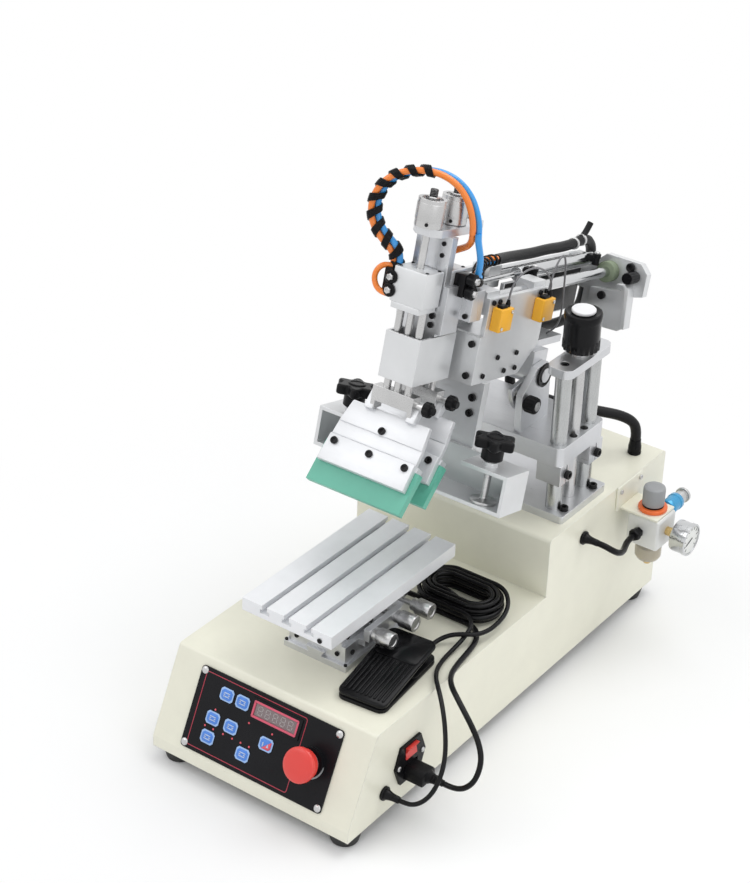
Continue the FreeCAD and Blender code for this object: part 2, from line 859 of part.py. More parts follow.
def make_casing():
    outer = pad("x", casing_outline(ZERO), -S.casing_half, S.casing_half)
    depth = float(S.casing_depth)
    deck = float(S.deck_high)
    rear = float(S.rear_high)

    def folded(bounds):
        across = bounds.XLength > bounds.YLength + bounds.ZLength
        upper = bounds.ZMin > deck - 1
        step_foot = abs(bounds.YMin - float(S.step_back)) < 1 and bounds.ZMin < rear - 1
        return across and upper and not step_foot and bounds.YMax < depth + 1

    shell = rounded(outer, S.casing_bend, folded)
    wall = S.casing_wall
    inner = pad("x", casing_outline(wall), wall - S.casing_half, S.casing_half - wall)
    through = S.casing_half + S.overrun
    inside = S.casing_half - wall - S.overrun
    inlet = box((inside, through),
                (S.inlet_y - S.inlet_body_half, S.inlet_y + S.inlet_body_half),
                (S.plug_z - S.plug_half_z - S.inlet_thick - S.loose_fit,
                 S.rocker_z + S.rocker_half_z + S.inlet_thick + S.loose_fit))
    pedal_hole = rod("x", (S.pedal_gland_y, S.pedal_gland_z), inside, through, S.gland_dome)
    side_hole = rod("x", (S.side_gland_y, S.side_gland_z), inside, through, S.gland_dome)
    top_hole = rod("z", (S.casing_half - S.top_gland_inset, S.top_gland_y), S.rear_high - wall - S.overrun,
                   S.rear_high + S.overrun, S.gland_dome)
    stop_hole = in_panel_frame(rod("z", (S.estop_x, S.estop_up), -S.estop_inside - S.overrun,
                                   S.overrun, S.estop_stem + S.loose_fit))
    node("casing", [cut(shell, inner, inlet, pedal_hole, side_hole, top_hole, stop_hole)])


def make_base_pan():
    half = S.casing_half - S.casing_wall - S.loose_fit
    front = S.casing_wall + S.loose_fit
    back = S.casing_depth - S.casing_wall - S.loose_fit
    top = S.casing_under + S.pan_wall
    floor = box((-half, half), (front, back), (S.casing_under, top))
    rim = box((-half, half), (front, back), (top, top + S.pan_lip))
    inside = box((S.pan_wall - half, half - S.pan_wall), (front + S.pan_wall, back - S.pan_wall),
                 (top, top + S.pan_lip + S.overrun))
    node("base_pan", [fuse(floor, cut(rim, inside))])


def make_feet():
    feet = []
    for x in (S.casing_half - S.foot_inset_x, S.foot_inset_x - S.casing_half):
        for y in (S.foot_inset_y, S.casing_depth - S.foot_inset_y):
            feet.append(cone("z", (x, y), ZERO, S.casing_under, S.foot_radius - S.foot_taper, S.foot_radius))
    node("rubber_feet", feet)


def make_panel():
    plate = pad("z", [(-S.panel_half, S.panel_low), (S.panel_half, S.panel_low),
                      (S.panel_half, S.panel_top), (-S.panel_half, S.panel_top)], ZERO, S.panel_thick)
    plate = rounded(plate, S.panel_corner, upright)
    frame = box((S.window_x - S.window_half_x, S.window_x + S.window_half_x),
                (S.window_up - S.window_half_up, S.window_up + S.window_half_up),
                (S.panel_thick, S.panel_thick + S.window_proud))
    glass_x = S.window_half_x - S.window_frame
    glass_up = S.window_half_up - S.window_frame
    opening = box((S.window_x - glass_x, S.window_x + glass_x),
                  (S.window_up - glass_up, S.window_up + glass_up),
                  (S.panel_thick, S.panel_thick + S.window_proud + S.overrun))
    places = [
        (-S.key_far_x + S.key_half_x, S.key_top_up),
        (-S.key_far_x + S.key_mid_x - S.key_half_x, S.key_top_up),
        (-S.key_far_x, S.key_middle_up), (-S.key_mid_x, S.key_middle_up),
        (-S.key_far_x, S.key_low_up), (-S.key_near_x, S.key_low_up), (S.key_half_x, S.key_middle_up),
    ]
    keys = [box((x - S.key_half_x, x + S.key_half_x), (up - S.key_half_up, up + S.key_half_up),
                (S.panel_thick, S.panel_thick + S.key_proud)) for x, up in places]
    stop_hole = rod("z", (S.estop_x, S.estop_up), -S.overrun, S.panel_thick + S.collar_high + S.overrun,
                    S.estop_stem + S.loose_fit)
    collar = rod("z", (S.estop_x, S.estop_up), S.panel_thick, S.panel_thick + S.collar_high, S.estop_collar)
    solid = cut(fuse(plate, cut(frame, opening), collar, *keys), stop_hole)
    node("control_panel", [solid], "panel")


def make_estop():
    under = S.panel_thick + S.collar_high + S.estop_gap
    waist = S.estop_radius * 0.7
    outline = [
        (ZERO, -S.estop_inside), (S.estop_stem, -S.estop_inside), (S.estop_stem, under),
        (S.estop_radius, under), (S.estop_radius, under + S.estop_cap * 0.45),
        (S.estop_radius * 0.9, under + S.estop_cap * 0.75), (waist, under + S.estop_cap * 0.95),
        (ZERO, under + S.estop_cap),
    ]
    node("estop_button", [lathe(outline, "z", (S.estop_x, S.estop_up))], "panel")


def make_inlet():
    outer = S.casing_half + S.inlet_thick
    low = S.inlet_z - S.inlet_half_z
    high = S.inlet_z + S.inlet_half_z
    outline = [
        (S.inlet_y - S.inlet_end_half_y, low), (S.inlet_y + S.inlet_end_half_y, low),
        (S.inlet_y + S.inlet_half_y, S.inlet_z), (S.inlet_y + S.inlet_end_half_y, high),
        (S.inlet_y - S.inlet_end_half_y, high), (S.inlet_y - S.inlet_half_y, S.inlet_z),
    ]
    flange = pad("x", outline, S.casing_half, outer)
    half = S.inlet_body_half - S.loose_fit
    body = box((S.casing_half - S.inlet_inside, S.casing_half), (S.inlet_y - half, S.inlet_y + half),
               (S.plug_z - S.plug_half_z - S.inlet_thick, S.rocker_z + S.rocker_half_z + S.inlet_thick))
    gap = S.plug_half_y + S.loose_fit
    socket = box((S.casing_half - S.plug_inside, outer + S.overrun),
                 (S.inlet_y - gap, S.inlet_y + gap),
                 (S.plug_z - S.plug_half_z - S.loose_fit, S.plug_z + S.plug_half_z + S.loose_fit))
    room = S.rocker_half_y + S.loose_fit
    well = box((S.casing_half - S.rocker_back - S.rocker_gap, outer + S.overrun),
               (S.inlet_y - room, S.inlet_y + room),
               (S.rocker_z - S.rocker_half_z - S.rocker_gap, S.rocker_z + S.rocker_half_z + S.rocker_gap))
    reach = S.rocker_half_y + S.rocker_pin_out + S.running_fit
    bore = rod("y", (S.casing_half, S.rocker_z), S.inlet_y - reach, S.inlet_y + reach,
               S.rocker_pin + S.running_fit)
    node("power_inlet", [cut(fuse(flange, body), socket, well, bore)])


def make_rocker():
    centre = S.casing_half
    outline = [
        (centre - S.rocker_back, S.rocker_z - S.rocker_half_z),
        (centre - S.rocker_back, S.rocker_z + S.rocker_half_z),
        (centre + S.rocker_peak + S.rocker_front, S.rocker_z + S.rocker_half_z),
        (centre + S.rocker_front, S.rocker_z), (centre + S.rocker_peak, S.rocker_z - S.rocker_half_z),
    ]
    reach = S.rocker_half_y + S.rocker_pin_out
    pin = rod("y", (centre, S.rocker_z), S.inlet_y - reach, S.inlet_y + reach, S.rocker_pin)
    rocker = pad("y", outline, S.inlet_y - S.rocker_half_y, S.inlet_y + S.rocker_half_y)
    node("rocker_switch", [fuse(rocker, pin)])


def gland_outline():
    return [
        (ZERO, ZERO), (S.gland_flange, ZERO), (S.gland_flange, S.gland_flange_thick),
        (S.gland_dome, S.gland_flange_thick), (S.gland_dome, S.gland_long * 0.6),
        (S.gland_tip, S.gland_long), (ZERO, S.gland_long),
    ]


def make_glands():
    node("cord_glands", [
        lathe(gland_outline(), "x", (S.pedal_gland_y, S.pedal_gland_z), S.casing_half),
        lathe(gland_outline(), "x", (S.side_gland_y, S.side_gland_z), S.casing_half),
        lathe(gland_outline(), "z", (S.casing_half - S.top_gland_inset, S.top_gland_y), S.rear_high),
    ])


def make_plugs():
    start = S.casing_half - S.plug_inside
    face = S.casing_half + S.inlet_thick
    low = S.plug_z - S.plug_half_z
    high = S.plug_z + S.plug_half_z
    corner = S.plug_corner
    outline = [
        (S.inlet_y - S.plug_half_y, low), (S.inlet_y + S.plug_half_y, low),
        (S.inlet_y + S.plug_half_y, high - corner), (S.inlet_y + S.plug_half_y - corner, high),
        (S.inlet_y - S.plug_half_y + corner, high), (S.inlet_y - S.plug_half_y, high - corner),
    ]
    body = pad("x", outline, start, face + S.plug_body - corner)
    nose = cone("x", (S.inlet_y, S.plug_z), face + S.plug_body - corner, face + S.plug_body,
                S.plug_half_z, S.relief_radius)
    relief = cone("x", (S.inlet_y, S.plug_z), face + S.plug_body,
                  face + S.plug_body + S.relief_long, S.relief_radius, S.mains_radius + S.running_fit)
    node("mains_plug", [fuse(body, nose, relief)])
    end = WALL_ROUTE[-1]
    before = WALL_ROUTE[-2]
    heading = (FreeCAD.Vector(*end) - FreeCAD.Vector(*before)).normalize()
    outline = [
        (ZERO, ZERO), (S.mains_radius + S.running_fit, ZERO), (S.relief_radius, S.relief_long),
        (S.plug_half_y, S.relief_long + S.plug_corner), (S.plug_half_y, S.relief_long + S.plug_body),
        (ZERO, S.relief_long + S.plug_body),
    ]
    housing = lathe(outline)
    pin_start = S.relief_long + S.plug_body
    pins = [rod("z", (x, ZERO), pin_start, pin_start + S.plug_inside, S.tube_radius)
            for x in (-S.plug_half_y / 2, S.plug_half_y / 2)]
    plug = fuse(housing, *pins)
    plug.Placement = FreeCAD.Placement(FreeCAD.Vector(*end), FreeCAD.Rotation(UP, heading))
    node("wall_plug", [plug])


def make_cords():
    deck = S.deck_high + S.soft_gap
    node("mains_cord", [tube(MAINS_ROUTE, S.mains_radius, "mains cord"),
                        tube(WALL_ROUTE, S.mains_radius, "cord to the wall plug")])
    mains_low = deck + S.mains_radius
    node("mains_hank", [hank(S.mains_radius, S.mains_fold, S.mains_step, S.mains_loops, mains_low, 0,
                            "mains hank")])
    lead_low = mains_low + S.mains_step + S.mains_radius + S.soft_gap + S.lead_radius
    node("pedal_cord", [tube(LEAD_ROUTE, S.lead_radius, "pedal lead"),
                        tube(PEDAL_ROUTE, S.lead_radius, "lead to the pedal")])
    node("pedal_hank", [hank(S.lead_radius, S.lead_fold, S.lead_step, S.lead_loops, lead_low, 1,
                            "pedal hank")])


def make_pedal():
    half = S.pedal_half
    long = S.pedal_half_long
    floor = pad("z", [(-half, -long), (half, -long), (half, long), (-half, long)], ZERO, S.pedal_floor)
    floor = rounded(floor, S.pedal_floor, upright)
    cheek = [(-long, ZERO), (long, ZERO), (long, S.cheek_high), (-long, S.cheek_low + S.treadle_pin * 2)]
    hole = rod("x", (S.treadle_pin_inset - long, S.cheek_low), -half - S.overrun, half + S.overrun,
               S.treadle_pin + S.running_fit)
    cheeks = both(lambda side: pad("x", cheek, *span(side, half - S.cheek_thick, half)))
    wall = box((-half, half), (long - S.cheek_thick, long), (ZERO, S.pedal_wall_high))
    relief = rod("y", (S.pedal_relief_x, S.pedal_relief_z), long, long + S.pedal_relief_long,
                 S.pedal_relief_radius)
    node("pedal_base", [cut(fuse(floor, wall, relief, *cheeks), hole)], "pedal")
    inner = half - S.cheek_thick - S.loose_fit
    outline = [
        (-long, S.treadle_low - S.treadle_thick), (long - S.overrun, S.treadle_high - S.treadle_thick),
        (long - S.overrun, S.treadle_high), (long * S.treadle_flat_share, S.treadle_high),
        (-long, S.treadle_low),
    ]
    top = pad("x", outline, -inner, inner)
    pin = rod("x", (S.treadle_pin_inset - long, S.cheek_low), -half, half, S.treadle_pin)
    slope = (S.treadle_high - S.treadle_low) / (long * (1 + S.treadle_flat_share))
    near = S.treadle_low + S.treadle_rib_start * slope
    far = S.treadle_low + S.treadle_rib_end * slope
    side = [(S.treadle_rib_start - long, near - S.treadle_thick / 2),
            (S.treadle_rib_end - long, far - S.treadle_thick / 2),
            (S.treadle_rib_end - long, far),
            (S.treadle_rib_end - S.overrun - long, far + S.treadle_rib),
            (S.treadle_rib_start + S.overrun - long, near + S.treadle_rib),
            (S.treadle_rib_start - long, near)]
    ribs = []
    for number in range(int(float(S.treadle_ribs))):
        middle = S.treadle_rib_pitch * (number - (float(S.treadle_ribs) - 1) / 2)
        ribs.append(pad("x", side, middle - S.treadle_rib_half, middle + S.treadle_rib_half))
    node("pedal_treadle", [fuse(top, pin, *ribs)], "pedal")


def way_outline(centre, low, clearance):
    """A dovetail way, wider at its top, or the groove that runs on it."""
    high = low + S.way_high + clearance
    near = S.way_half_low + clearance
    far = S.way_half_high + clearance
    return [(centre - near, low), (centre + near, low), (centre + far, high), (centre - far, high)]


def stage_levels():
    base = S.deck_high + S.stage_base_thick
    lower = base + S.slide_thick
    upper = lower + S.cross_thick
    return base, lower, upper


def make_stage():
    base, lower, upper = stage_levels()
    y = S.stage_y
    long = S.stage_base_half_long
    plate = box((-S.stage_base_half, S.stage_base_half), (y - long, y + long), (S.deck_high, base))
    way = pad("y", way_outline(ZERO, base, ZERO), y - long, y + long)
    node("stage_base", [fuse(plate, way)])

    block = box((-S.slide_half, S.slide_half), (y - S.slide_half_long, y + S.slide_half_long), (base, lower))
    groove = pad("y", way_outline(ZERO, base, S.running_fit), y - S.slide_half_long - S.overrun,
                 y + S.slide_half_long + S.overrun)
    cross = pad("x", way_outline(y, lower, ZERO), -S.slide_half, S.slide_half)
    ear_front = y + S.y_knob_back - S.stage_knob_radius
    ear_back = y + S.x_knob_back + S.stage_knob_radius
    arm = box((S.slide_half, S.stage_ear_x + S.overrun), (ear_front, ear_back),
              (lower - S.stage_ear_thick, lower))
    ear = box((S.stage_ear_x, S.stage_ear_x + S.stage_ear_thick), (ear_front, ear_back),
              (lower, upper - S.overrun))
    holes = [rod("x", (y + back, lower + S.cross_thick / 2 - S.overrun / 2), S.stage_ear_x - S.overrun,
                 S.stage_ear_x + S.stage_ear_thick + S.overrun, S.stage_shaft + S.running_fit)
             for back in (S.y_knob_back, S.x_knob_back)]
    node("stage_y_slide", [cut(fuse(cut(block, groove), cross, arm, ear), *holes)])

    saddle = box((-S.cross_half, S.cross_half), (y - S.slide_half_long, y + S.slide_half_long),
                 (lower, upper))
    groove = pad("x", way_outline(y, lower, S.running_fit), -S.cross_half - S.overrun,
                 S.cross_half + S.overrun)
    shaft_z = lower + S.cross_thick / 2 - S.overrun / 2
    bores = [rod("x", (y + back, shaft_z), ZERO, S.cross_half + S.overrun, S.stage_shaft + S.running_fit)
             for back in (S.x_knob_back, S.theta_knob_back)]
    node("stage_x_slide", [cut(saddle, groove, *bores)])

    for name, back, start in (("y_knob", S.y_knob_back, S.cross_half + S.shaft_reach - S.overrun),
                              ("x_knob", S.x_knob_back, S.shaft_reach),
                              ("theta_knob", S.theta_knob_back, S.shaft_reach)):
        face = S.stage_ear_x + S.stage_ear_thick
        end = face + S.stage_collar_long + S.stage_knob_long
        outline = [
            (ZERO, start), (S.stage_shaft, start), (S.stage_shaft, face), (S.stage_collar, face),
            (S.stage_collar, face + S.stage_collar_long), (S.stage_knob_radius, face + S.stage_collar_long),
            (S.stage_knob_radius, end), (ZERO, end),
        ]
        node(name, [lathe(outline, "x", (y + back, shaft_z))])


def make_table():
    base, lower, upper = stage_levels()
    y = S.stage_y
    disc_top = upper + S.turn_thick
    low = disc_top + S.mount_thick
    high = low + S.table_thick
    disc = rod("z", (ZERO, y), upper, disc_top, S.turn_radius)
    mount = box((-S.mount_half, S.mount_half), (y - S.mount_half_long, y + S.mount_half_long),
                (disc_top, low))
    front = y - S.table_half_long
    back = y + S.table_half_long
    neck = high - S.slot_neck_deep
    foot = neck - S.slot_foot_deep
    outline = [(-S.table_half, low), (S.table_half, low), (S.table_half, high)]
    for centre in (S.slot_pitch, ZERO, -S.slot_pitch):
        outline += [
            (centre + S.slot_neck, high), (centre + S.slot_neck, neck), (centre + S.slot_foot, neck),
            (centre + S.slot_foot, foot), (centre - S.slot_foot, foot), (centre - S.slot_foot, neck),
            (centre - S.slot_neck, neck), (centre - S.slot_neck, high),
        ]
    outline.append((-S.table_half, high))
    top = pad("y", outline, front, back)
    node("work_table", [fuse(disc, mount, top)])


def four_posts(make):
    return [make(x, S.column_y + y) for x in (S.post_x, -S.post_x)
            for y in (S.post_pitch_half, -S.post_pitch_half)]


def make_column():
    top = S.rear_high + S.base_plate_thick
    long = S.base_plate_half_long
    plate = pad("z", [(-S.base_plate_half, S.column_y - long), (S.base_plate_half, S.column_y - long),
                      (S.base_plate_half, S.column_y + long), (-S.base_plate_half, S.column_y + long)],
                S.rear_high, top)
    plate = rounded(plate, S.panel_corner, upright)
    bolts = [rod("z", (x, S.column_y + y), top - S.bolt_head_deep, top + S.overrun, S.bolt_head_radius)
             for x in (S.base_bolt_x, -S.base_bolt_x) for y in (S.post_pitch_half, -S.post_pitch_half)]
    seat = rod("z", (S.post_x, S.column_y), top - S.bolt_head_deep, top + S.overrun,
               S.screw_radius + S.running_fit)
    node("column_base_plate", [cut(plate, seat, *bolts)])
    node("guide_posts", four_posts(lambda x, y: rod("z", (x, y), top, S.top_plate_low, S.post_radius)))

    plates = []
    for side in (1, -1):
        x = S.post_x * side
        half = S.top_plate_half
        long = S.top_plate_half_long
        bar = pad("z", [(x - half, S.column_y - long), (x + half, S.column_y - long),
                        (x + half, S.column_y + long), (x - half, S.column_y + long)],
                  S.top_plate_low, S.top_plate_low + S.top_plate_thick)
        bar = rounded(bar, S.top_plate_corner, upright)
        drills = [rod("z", (x, S.column_y + y), S.top_plate_low + S.top_plate_thick - S.bolt_head_deep,
                      S.top_plate_low + S.top_plate_thick + S.overrun, S.bolt_head_radius)
                  for y in (S.post_pitch_half, -S.post_pitch_half)]
        if side > 0:
            drills.append(rod("z", (x, S.column_y), S.top_plate_low - S.overrun,
                              S.top_plate_low + S.top_plate_thick + S.overrun,
                              S.screw_radius + S.running_fit))
        plates.append(cut(bar, *drills))
    node("column_top_plates", plates)


def make_lift():
    long = S.slab_half_long
    high = S.slab_low + S.slab_thick
    slab = pad("z", [(-S.slab_half, S.column_y - long), (S.slab_half, S.column_y - long),
                     (S.slab_half, S.column_y + long), (-S.slab_half, S.column_y + long)], S.slab_low, high)
    slab = rounded(slab, S.slab_corner, upright)
    bosses = []
    slits = []
    for side in (1, -1):
        for y in (S.post_pitch_half, -S.post_pitch_half):
            place = S.column_y + y
            bosses.append(box(span(side, S.boss_inner, S.slab_half),
                              (place - S.boss_half_long, place + S.boss_half_long),
                              (S.slab_low - S.boss_high, S.slab_low)))
            slits.append(box(span(side, S.post_x, S.slab_half + S.overrun),
                             (place - S.clamp_slit / 2, place + S.clamp_slit / 2),
                             (S.slab_low - S.boss_high - S.overrun, S.slab_low - S.overrun)))
    bores = four_posts(lambda x, y: rod("z", (x, y), S.slab_low - S.boss_high - S.overrun,
                                        high + S.overrun, S.post_radius + S.running_fit))
    nut = rod("z", (S.post_x, S.column_y), S.slab_low - S.overrun, high + S.overrun,
              S.screw_radius + S.running_fit)
    node("lift_slab", [cut(fuse(slab, *bosses), nut, *bores, *slits)])

    base_top = S.rear_high + S.base_plate_thick
    top = S.top_plate_low + S.top_plate_thick
    node("height_screw", [rod("z", (S.post_x, S.column_y), base_top - S.bolt_head_deep, top, S.screw_radius)])
    outline = [
        (ZERO, top), (S.thrust_collar, top), (S.thrust_collar, top + S.thrust_collar_high),
        (S.height_knob_waist, top + S.thrust_collar_high),
        (S.height_knob_radius, top + S.thrust_collar_high + S.overrun),
        (S.height_knob_radius, top + S.height_knob_high - S.overrun),
        (S.height_knob_waist, top + S.height_knob_high),
        (S.height_cap_radius, top + S.height_knob_high),
        (S.height_cap_radius, top + S.height_knob_high + S.height_cap_high),
        (ZERO, top + S.height_knob_high + S.height_cap_high),
    ]
    node("height_knob", [lathe(outline, "z", (S.post_x, S.column_y))])


def make_lugs():
    slab_top = S.slab_low + S.slab_thick
    front = S.column_y - S.lug_front
    back = S.column_y + S.lug_back
    shoulder = S.pivot_z - S.lug_front * S.lug_shoulder_share
    outline = [
        (front, slab_top), (back, slab_top), (back, S.pivot_z + S.lug_top / 2),
        (back - S.lug_top / 2, S.pivot_z + S.lug_top), (S.column_y - S.lug_back, S.pivot_z + S.lug_top),
        (front, shoulder),
    ]
    outer = S.lug_inner + S.lug_thick
    plates = both(lambda side: pad("x", outline, *span(side, S.lug_inner, outer)))
    end = outer + S.pivot_head_thick
    pin = fuse(rod("x", (S.column_y, S.pivot_z), -outer, outer, S.pivot_radius),
               rod("x", (S.column_y, S.pivot_z), outer, end, S.pivot_head),
               rod("x", (S.column_y, S.pivot_z), -end, -outer, S.pivot_head))
    angle = math.radians(float(S.lock_angle - S.arm_tilt))
    lock_y = Size(float(S.column_y) + float(S.quadrant_slot) * math.cos(angle),
                  "(%s + %s * cos((%s - %s) * 1 deg))" % (formula(S.column_y), formula(S.quadrant_slot),
                                                          formula(S.lock_angle), formula(S.arm_tilt)))
    lock_z = Size(float(S.pivot_z) + float(S.quadrant_slot) * math.sin(angle),
                  "(%s + %s * sin((%s - %s) * 1 deg))" % (formula(S.pivot_z), formula(S.quadrant_slot),
                                                          formula(S.lock_angle), formula(S.arm_tilt)))
    hole = rod("x", (lock_y, lock_z), S.lug_inner - S.overrun, outer + S.overrun,
               S.lock_screw + S.running_fit)
    bore = rod("x", (S.column_y, S.pivot_z), -outer - S.overrun, outer + S.overrun, S.pivot_radius)
    node("pivot_lugs", [cut(plates[0], hole, bore), cut(plates[1], bore), pin])
    outline = [
        (ZERO, S.quadrant_inner - S.loose_fit), (S.lock_screw, S.quadrant_inner - S.loose_fit),
        (S.lock_screw, outer), (S.lock_radius * S.lock_neck_share, outer), (S.lock_radius, outer + S.overrun),
        (S.lock_radius, outer + S.lock_long - S.overrun),
        (S.lock_radius * S.lock_end_share, outer + S.lock_long),
        (ZERO, outer + S.lock_long),
    ]
    node("tilt_lock_knob", [lathe(outline, "x", (lock_y, lock_z))])


def sector(low, high, radius, start, sweep):
    """A slice of a disc about the pivot, lying across the arm."""
    slice_ = doc.addObject("Part::Cylinder", "Slice")
    slice_.setExpression("Radius", formula(radius))
    slice_.setExpression("Height", formula(high - low))
    slice_.setExpression("Angle", formula(sweep))
    level = FreeCAD.Rotation(FreeCAD.Vector(0, 1, 0), 90).multiply(FreeCAD.Rotation(UP, 90))
    turn = level.multiply(FreeCAD.Rotation(UP, float(start)))
    return put(slice_, low, ZERO, ZERO, turn)


def make_arm():
    outer = S.arm_half
    inner = S.arm_half - S.side_thick
    side = [
        (-S.side_front, S.side_low), (-S.side_corner_y, S.side_low), (-S.side_back, S.side_corner_z),
        (-S.side_back, S.side_high), (-S.side_front, S.side_high),
    ]
    plates = both(lambda hand: pad("x", side, *span(hand, inner, outer)))
    front = box((-outer, outer), (-S.side_front - S.front_plate_thick, -S.side_front),
                (S.side_low, S.front_plate_high))
    pieces = plates + [front]
    for hand in (1, -1):
        for begin in (-S.side_front, -S.side_back - S.bearing_long):
            block = box(span(hand, S.bearing_inner, inner), (begin, begin + S.bearing_long),
                        (S.bearing_low, S.bearing_high))
            bore = rod("y", (S.rod_x * hand, S.rod_z), begin - S.overrun, begin + S.bearing_long + S.overrun,
                       S.rod_radius + S.running_fit)
            pieces.append(cut(block, bore))
    node("arm_side_plates", pieces, "arm")

    hub_round = rod("x", (ZERO, ZERO), -S.hub_half, S.hub_half, S.hub_radius)
    hub_block = box((-S.hub_half, S.hub_half), (-S.hub_radius, S.hub_radius), (ZERO, S.base_low))
    bore = rod("x", (ZERO, ZERO), -S.hub_half - S.overrun, S.hub_half + S.overrun,
               S.pivot_radius + S.running_fit)
    plate = box((-inner, inner), (-S.side_front, S.base_back), (S.base_low, S.base_low + S.base_thick))
    far = S.quadrant_inner + S.quadrant_thick
    wedge = sector(S.quadrant_inner, far, S.quadrant_radius, S.quadrant_start, S.quadrant_sweep)
    slot = cut(sector(S.quadrant_inner - S.overrun, far + S.overrun, S.quadrant_slot + S.quadrant_slot_half,
                      S.slot_start, S.slot_sweep),
               rod("x", (ZERO, ZERO), S.quadrant_inner - S.overrun - S.overrun, far + S.overrun + S.overrun,
                   S.quadrant_slot - S.quadrant_slot_half))
    node("arm_base_plate", [cut(fuse(hub_round, hub_block, plate, cut(wedge, slot)), bore)], "arm")

    anchor = box((-S.bearing_inner, S.bearing_inner), (-S.anchor_front, S.anchor_long - S.anchor_front),
                 (S.anchor_low, S.anchor_high))
    centre = (ZERO, S.barrel_z)
    stem = rod("y", centre, S.anchor_long - S.anchor_front, S.piston_back, S.piston_rod_radius)
    head = rod("y", centre, S.piston_back, S.piston_back + S.piston_long,
               S.barrel_radius - S.barrel_wall - S.running_fit)
    node("piston_rod", [fuse(anchor, stem, head)], "arm")

    sensors = []
    for place in (S.sensor_front_y, S.sensor_back_y):
        body = box((outer, outer + S.sensor_thick), (-place - S.sensor_half, S.sensor_half - place),
                   (S.sensor_z - S.sensor_half, S.sensor_z + S.sensor_half))
        sensors.append(body)
    node("stroke_sensors", sensors, "arm")


def make_stroke():
    centre = (ZERO, S.barrel_z)
    barrel = rod("y", centre, -S.barrel_front, S.barrel_back, S.barrel_radius)
    bore = rod("y", centre, S.barrel_cap - S.barrel_front, S.barrel_back - S.barrel_cap,
               S.barrel_radius - S.barrel_wall)
    mouth = rod("y", centre, -S.barrel_front - S.overrun, S.barrel_cap, S.piston_rod_radius + S.running_fit)
    fittings = []
    for begin in (S.barrel_cap, S.barrel_back - S.barrel_cap - S.port_long * 2):
        stem = box((S.barrel_radius * 0.5, S.barrel_radius + S.port_long),
                   (begin, begin + S.port_radius * 2),
                   (S.barrel_z, S.barrel_z + S.port_radius * 2))
        fittings.append(cut(stem, rod("y", centre, begin - S.overrun, begin + S.port_radius * 2 + S.overrun,
                                      S.barrel_radius)))
    node("stroke_cylinder", [cut(barrel, bore, mouth)] + fittings, "arm")
    node("guide_rods", both(lambda hand: rod("y", (S.rod_x * hand, S.rod_z), -S.rod_front, S.rod_back,
                                             S.rod_radius)), "arm")

    outline = [
        (-S.end_plate_left, S.end_plate_low), (ZERO, S.end_plate_low), (ZERO, S.lobe_low + S.lobe_corner),
        (S.lobe_corner, S.lobe_low), (S.rod_x, S.lobe_low), (S.rod_x + S.lobe_corner, S.end_plate_low),
        (S.end_plate_right, S.end_plate_low + S.lobe_corner),
        (S.end_plate_right, S.end_plate_high - S.lobe_corner),
        (S.end_plate_right - S.lobe_corner, S.end_plate_high), (S.end_plate_notch, S.end_plate_high),
        (S.end_plate_notch - S.lobe_corner, S.end_plate_shoulder),
        (-S.end_plate_notch, S.end_plate_shoulder + S.overrun), (-S.end_plate_left, S.rod_z),
    ]
    plate = pad("y", outline, S.end_plate_front, S.end_plate_front + S.end_plate_thick)
    holes = both(lambda hand: rod("y", (S.rod_x * hand, S.rod_z), S.end_plate_front - S.overrun,
                                  S.end_plate_front + S.end_plate_thick + S.overrun,
                                  S.rod_radius))
    bumper = rod("y", (S.bumper_x, S.bumper_z), S.end_plate_front - S.bumper_long, S.end_plate_front,
                 S.bumper_radius)
    web = pad("x", [
        (-S.web_front, S.web_high - S.web_nose), (-S.web_front + S.web_nose, S.web_low),
        (S.end_plate_front, S.web_low), (S.end_plate_front, S.web_high), (-S.web_front, S.web_high),
    ], -S.web_left, S.web_thick - S.web_left)
    node("end_plate", [cut(plate, *holes), bumper, web], "arm")


